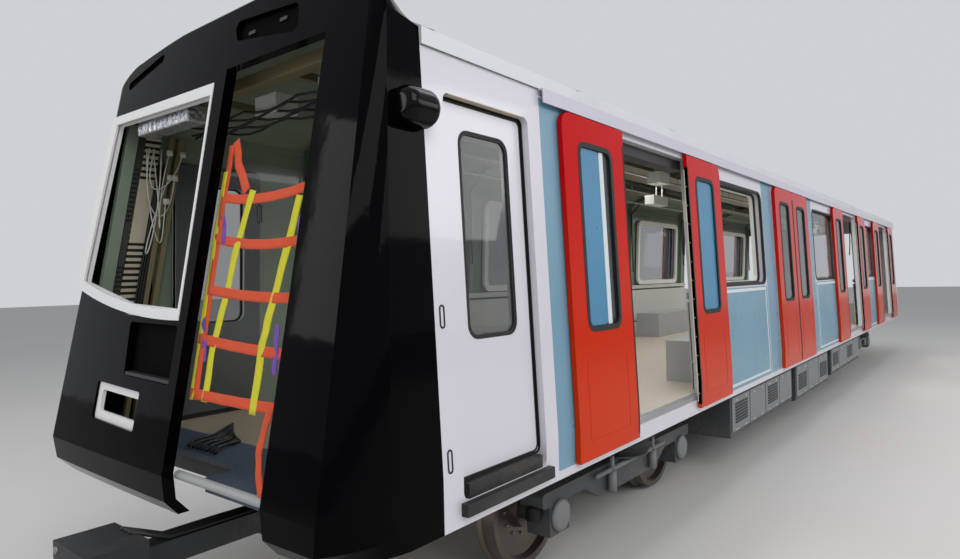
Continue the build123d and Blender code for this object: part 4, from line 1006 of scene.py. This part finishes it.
# Underfloor: lids with latches and vents on the outer faces of the cases, pipes beside them
# rear X, front X and underside of each case, and its side of the car
CASES = [(1.30, 3.70, 0.38, 1), (-0.90, 1.10, 0.33, 1), (-3.70, -1.15, 0.38, 1),
         (0.60, 3.70, 0.33, -1), (-1.50, 0.40, 0.38, -1), (-3.70, -1.75, 0.33, -1)]
CASE_FACE = 1.2998
LID_FACE = 1.312
LID_PITCH = 0.62
LID_HIGH = 0.77
LATCH_HEIGHT = 0.735
lids = Piece("case_lids", "mid_grey", "steel")
latches = Piece("case_latches", "bright_metal", "bright")
vents = Piece("case_vents", "satin_black", "dark")
for index, (x_low, x_high, low, sign) in enumerate(CASES):
    count = round((x_high - x_low) / LID_PITCH)
    width = (x_high - x_low - 0.06) / count
    y_low, y_high = sorted((sign * CASE_FACE, sign * LID_FACE))
    for number in range(count):
        x = x_low + 0.03 + width * number
        lids.box((x + 0.012, y_low, low + 0.05), (x + width - 0.012, y_high, LID_HIGH))
        for latch in (x + width * 0.25, x + width * 0.75):
            latches.turned((latch, sign * LID_FACE, LATCH_HEIGHT), (0, sign, 0),
                           [(0, 0.016), (0.004, 0.016), (0.007, 0.010)], 12)
            latches.box((latch - 0.05, y_low, low + 0.062), (latch + 0.05, y_high + 0.004, low + 0.074))
        if (number + index) % 2:
            for slat in range(7):
                z = low + 0.13 + 0.03 * slat
                vents.side_box(sign, (x + 0.10, x + width - 0.10), (1.3115, 1.320), (z, z + 0.015))
lids.build(bevel=0.003)
latches.build(bevel=0.001)
vents.build()
pipes = Piece("underfloor_pipes", "under_grey", "steel")
for y, z, radius in ((0.36, 0.84, 0.02), (0.31, 0.84, 0.012), (-0.36, 0.84, 0.02), (-0.31, 0.835, 0.016)):
    pipes.tube([(-4.6, y, z), (-3.9, y, z), (3.9, y, z), (4.6, y, z)], radius, 10)
pipes.build(smooth=True)

# Bogies: spring folds, axlebox covers, rubber springs, dampers, brake units and hub bolts
AXLE_REACH = 1.05
BEAM_PLACE = 0.98
AXLEBOX_FACE = 1.069
DAMPER_PLACE = 1.105
AIR_SPRING = [(0, 0.231)]
for fold in range(3):
    AIR_SPRING += [(0.03 + 0.07 * fold, 0.236), (0.055 + 0.07 * fold, 0.262), (0.08 + 0.07 * fold, 0.236)]
AIR_SPRING += [(0.235, 0.231)]
RUBBER_STACK = [(0, 0.04)]
for layer in range(4):
    RUBBER_STACK += [(0.008 + 0.02 * layer, 0.055), (0.018 + 0.02 * layer, 0.04)]
RUBBER_STACK += [(0.088, 0.04)]
for bogie, middle in BOGIES:
    body = f"bogie_frame_{bogie}"
    rubber = Piece(f"bogie_rubber_{bogie}", "gasket", "rubber", body)
    covers = Piece(f"axlebox_covers_{bogie}", "mid_grey", "steel", body)
    fixings = Piece(f"bogie_fixings_{bogie}", "bolt_metal", "bright", body)
    brakes = Piece(f"brake_units_{bogie}", "brake_yellow", "steel", body)
    for sign in (1, -1):
        rubber.turned((middle, sign * BEAM_PLACE, 0.612), (0, 0, 1), AIR_SPRING, 32)
        for end in (-1, 1):
            x = middle + end * AXLE_REACH
            covers.turned((x, sign * AXLEBOX_FACE, AXLE_HEIGHT), (0, sign, 0),
                          [(0, 0.105), (0.02, 0.105), (0.035, 0.08)], 28)
            for along, up in circle(0.088, 6, 30):
                fixings.turned((x + along, sign * 1.088, AXLE_HEIGHT + up), (0, sign, 0),
                               [(0, 0.010), (0.010, 0.010), (0.012, 0.007)], 6)
            for step in (-1, 1):
                rubber.turned((x + step * 0.175, sign * BEAM_PLACE, 0.415), (0, 0, 1), RUBBER_STACK, 16)
            brake = x - end * 0.42
            brakes.box((brake - 0.07, sign * 0.70 - 0.05, 0.40), (brake + 0.07, sign * 0.70 + 0.05, 0.56))
        covers.tube([(middle - 0.60, sign * 1.10, 0.56), (middle + 0.60, sign * 1.10, 0.56)], 0.018, 10)
        for x in (middle - 0.36, middle + 0.36):
            covers.tube([(x, sign * DAMPER_PLACE, 0.40), (x, sign * DAMPER_PLACE, 0.55)], 0.032, 14)
            covers.tube([(x, sign * DAMPER_PLACE, 0.55), (x, sign * DAMPER_PLACE, 0.66)], 0.018, 12)
    rubber.build(smooth=True)
    covers.build(smooth=True)
    fixings.build()
    brakes.build(bevel=0.008)
    for end, reach in (("fore", AXLE_REACH), ("aft", -AXLE_REACH)):
        tag = f"{bogie}_{end}"
        hubs = Piece(f"hub_bolts_{tag}", "bolt_metal", "wheel", f"wheelset_{tag}")
        for sign in (1, -1):
            for along, up in circle(0.19, 12):
                hubs.turned((middle + reach + along, sign * 0.7425, AXLE_HEIGHT + up), (0, sign, 0),
                            [(0, 0.011), (0.016, 0.011), (0.019, 0.007)], 6)
        hubs.build()

# Rear end: handrails, jumper boxes and round sockets
rails = Piece("end_handrails", "bright_metal", "bright")
sockets = Piece("jumper_sockets", "satin_black", "dark")
for sign in (1, -1):
    rails.tube([(REAR_WALL, sign * 1.12, 1.15), (REAR_WALL - 0.04, sign * 1.12, 1.18),
                (REAR_WALL - 0.04, sign * 1.12, 2.0), (REAR_WALL, sign * 1.12, 2.03)], 0.014, 10)
    for z in (1.12, 1.30):
        sockets.box((REAR_WALL - 0.08, sign * 0.90 - 0.06, z), (REAR_WALL, sign * 0.90 + 0.06, z + 0.13))
    for z in (1.45, 1.58):
        sockets.turned((REAR_WALL, sign * 0.92, z), (-1, 0, 0), [(0, 0.06), (0.03, 0.06), (0.045, 0.045)])
rails.build(smooth=True)
sockets.build(bevel=0.004)

# Coupler head: face plate with cone and cup, side buttons and the hoses above the shank
COUPLER_FACE = 9.049
COUPLER_HEIGHT = 0.64
coupler = Piece("coupler_face", "bolt_metal", "bright", "front_coupler")
for y, profile in ((0.09, [(0, 0.07), (0.008, 0.068), (0.009, 0.03)]),
                   (-0.09, [(0, 0.065), (0.008, 0.065), (0.009, 0.05)])):
    coupler.turned((COUPLER_FACE, y, COUPLER_HEIGHT), (1, 0, 0), profile)
for lift in (0.11, -0.11):
    for y in (0.15, -0.15):
        coupler.turned((COUPLER_FACE, y, COUPLER_HEIGHT + lift), (1, 0, 0), [(0, 0.02), (0.008, 0.018)], 12)
coupler.build()
hoses = Piece("coupler_hoses", "cable_black", "rubber", "front_coupler")
for y in (-0.04, 0.0, 0.04):
    hoses.tube([(8.00, y, 0.708), (8.3, y, 0.712), (8.6, y, 0.712), (8.80, y, 0.80)], 0.012, 8)
hoses.build(smooth=True)

# Stage: plain pale floor under the wheels, pale surroundings and soft light
STAGE_REACH = 80
floor_mesh = bpy.data.meshes.new("stage_floor")
floor_corners = [(x * STAGE_REACH, y * STAGE_REACH, 0) for x, y in ((-1, -1), (1, -1), (1, 1), (-1, 1))]
floor_mesh.from_pydata(floor_corners, [], [(0, 1, 2, 3)])
stage_floor = in_scene("stage_floor", floor_mesh)
stage = Nodes("stage_pale")
stage.colour(stage.mix(stage.noise(0.3, 3.0), (212, 211, 208), (218, 217, 215)))
stage.shader.inputs["Roughness"].default_value = 0.9
floor_mesh.materials.append(finishes["stage_pale"])

# Surroundings: brighter where the camera, a reflection or glass sees them than as a source of light
world = bpy.data.worlds.new("studio")
world.use_nodes = True
bpy.context.scene.world = world
tree = world.node_tree
background = tree.nodes["Background"]
background.inputs["Color"].default_value = (0.86, 0.88, 0.92, 1)
path = tree.nodes.new("ShaderNodeLightPath")
seen = path.outputs["Is Camera Ray"]
for kind in ("Is Transmission Ray", "Is Glossy Ray"):
    seen = add_node(tree, "ShaderNodeMath", 0, {0: seen, 1: path.outputs[kind]}, operation="MAXIMUM")
strength = add_node(tree, "ShaderNodeMapRange", "Result", {"Value": seen, "To Min": 0.42, "To Max": 0.72})
tree.links.new(strength, background.inputs["Strength"])

# name, place, aim, width, height, power
LAMPS = [
    ("key", (12, 9, 9), (3, 1, 1.5), 7, 7, 560),
    ("side_fill", (-2, 14, 7), (-1, 0, 1.5), 16, 5, 620),
    ("front_fill", (17, -6, 6), (8, 0, 2), 6, 5, 300),
    ("top", (0, 0, 11), (0, 0, 0), 16, 6, 500),
    ("saloon_fill", (-0.6, 0, 2.98), (-0.6, 0, 0), 14.5, 0.8, 110),
]
for name, position, aim, width, height, power in LAMPS:
    data = bpy.data.lights.new(name, "AREA")
    data.shape = "RECTANGLE"
    data.size, data.size_y, data.energy = width, height, power
    lamp = in_scene(name, data)
    lamp.location = position
    lamp.rotation_euler = (Vector(aim) - Vector(position)).to_track_quat("-Z", "Y").to_euler()
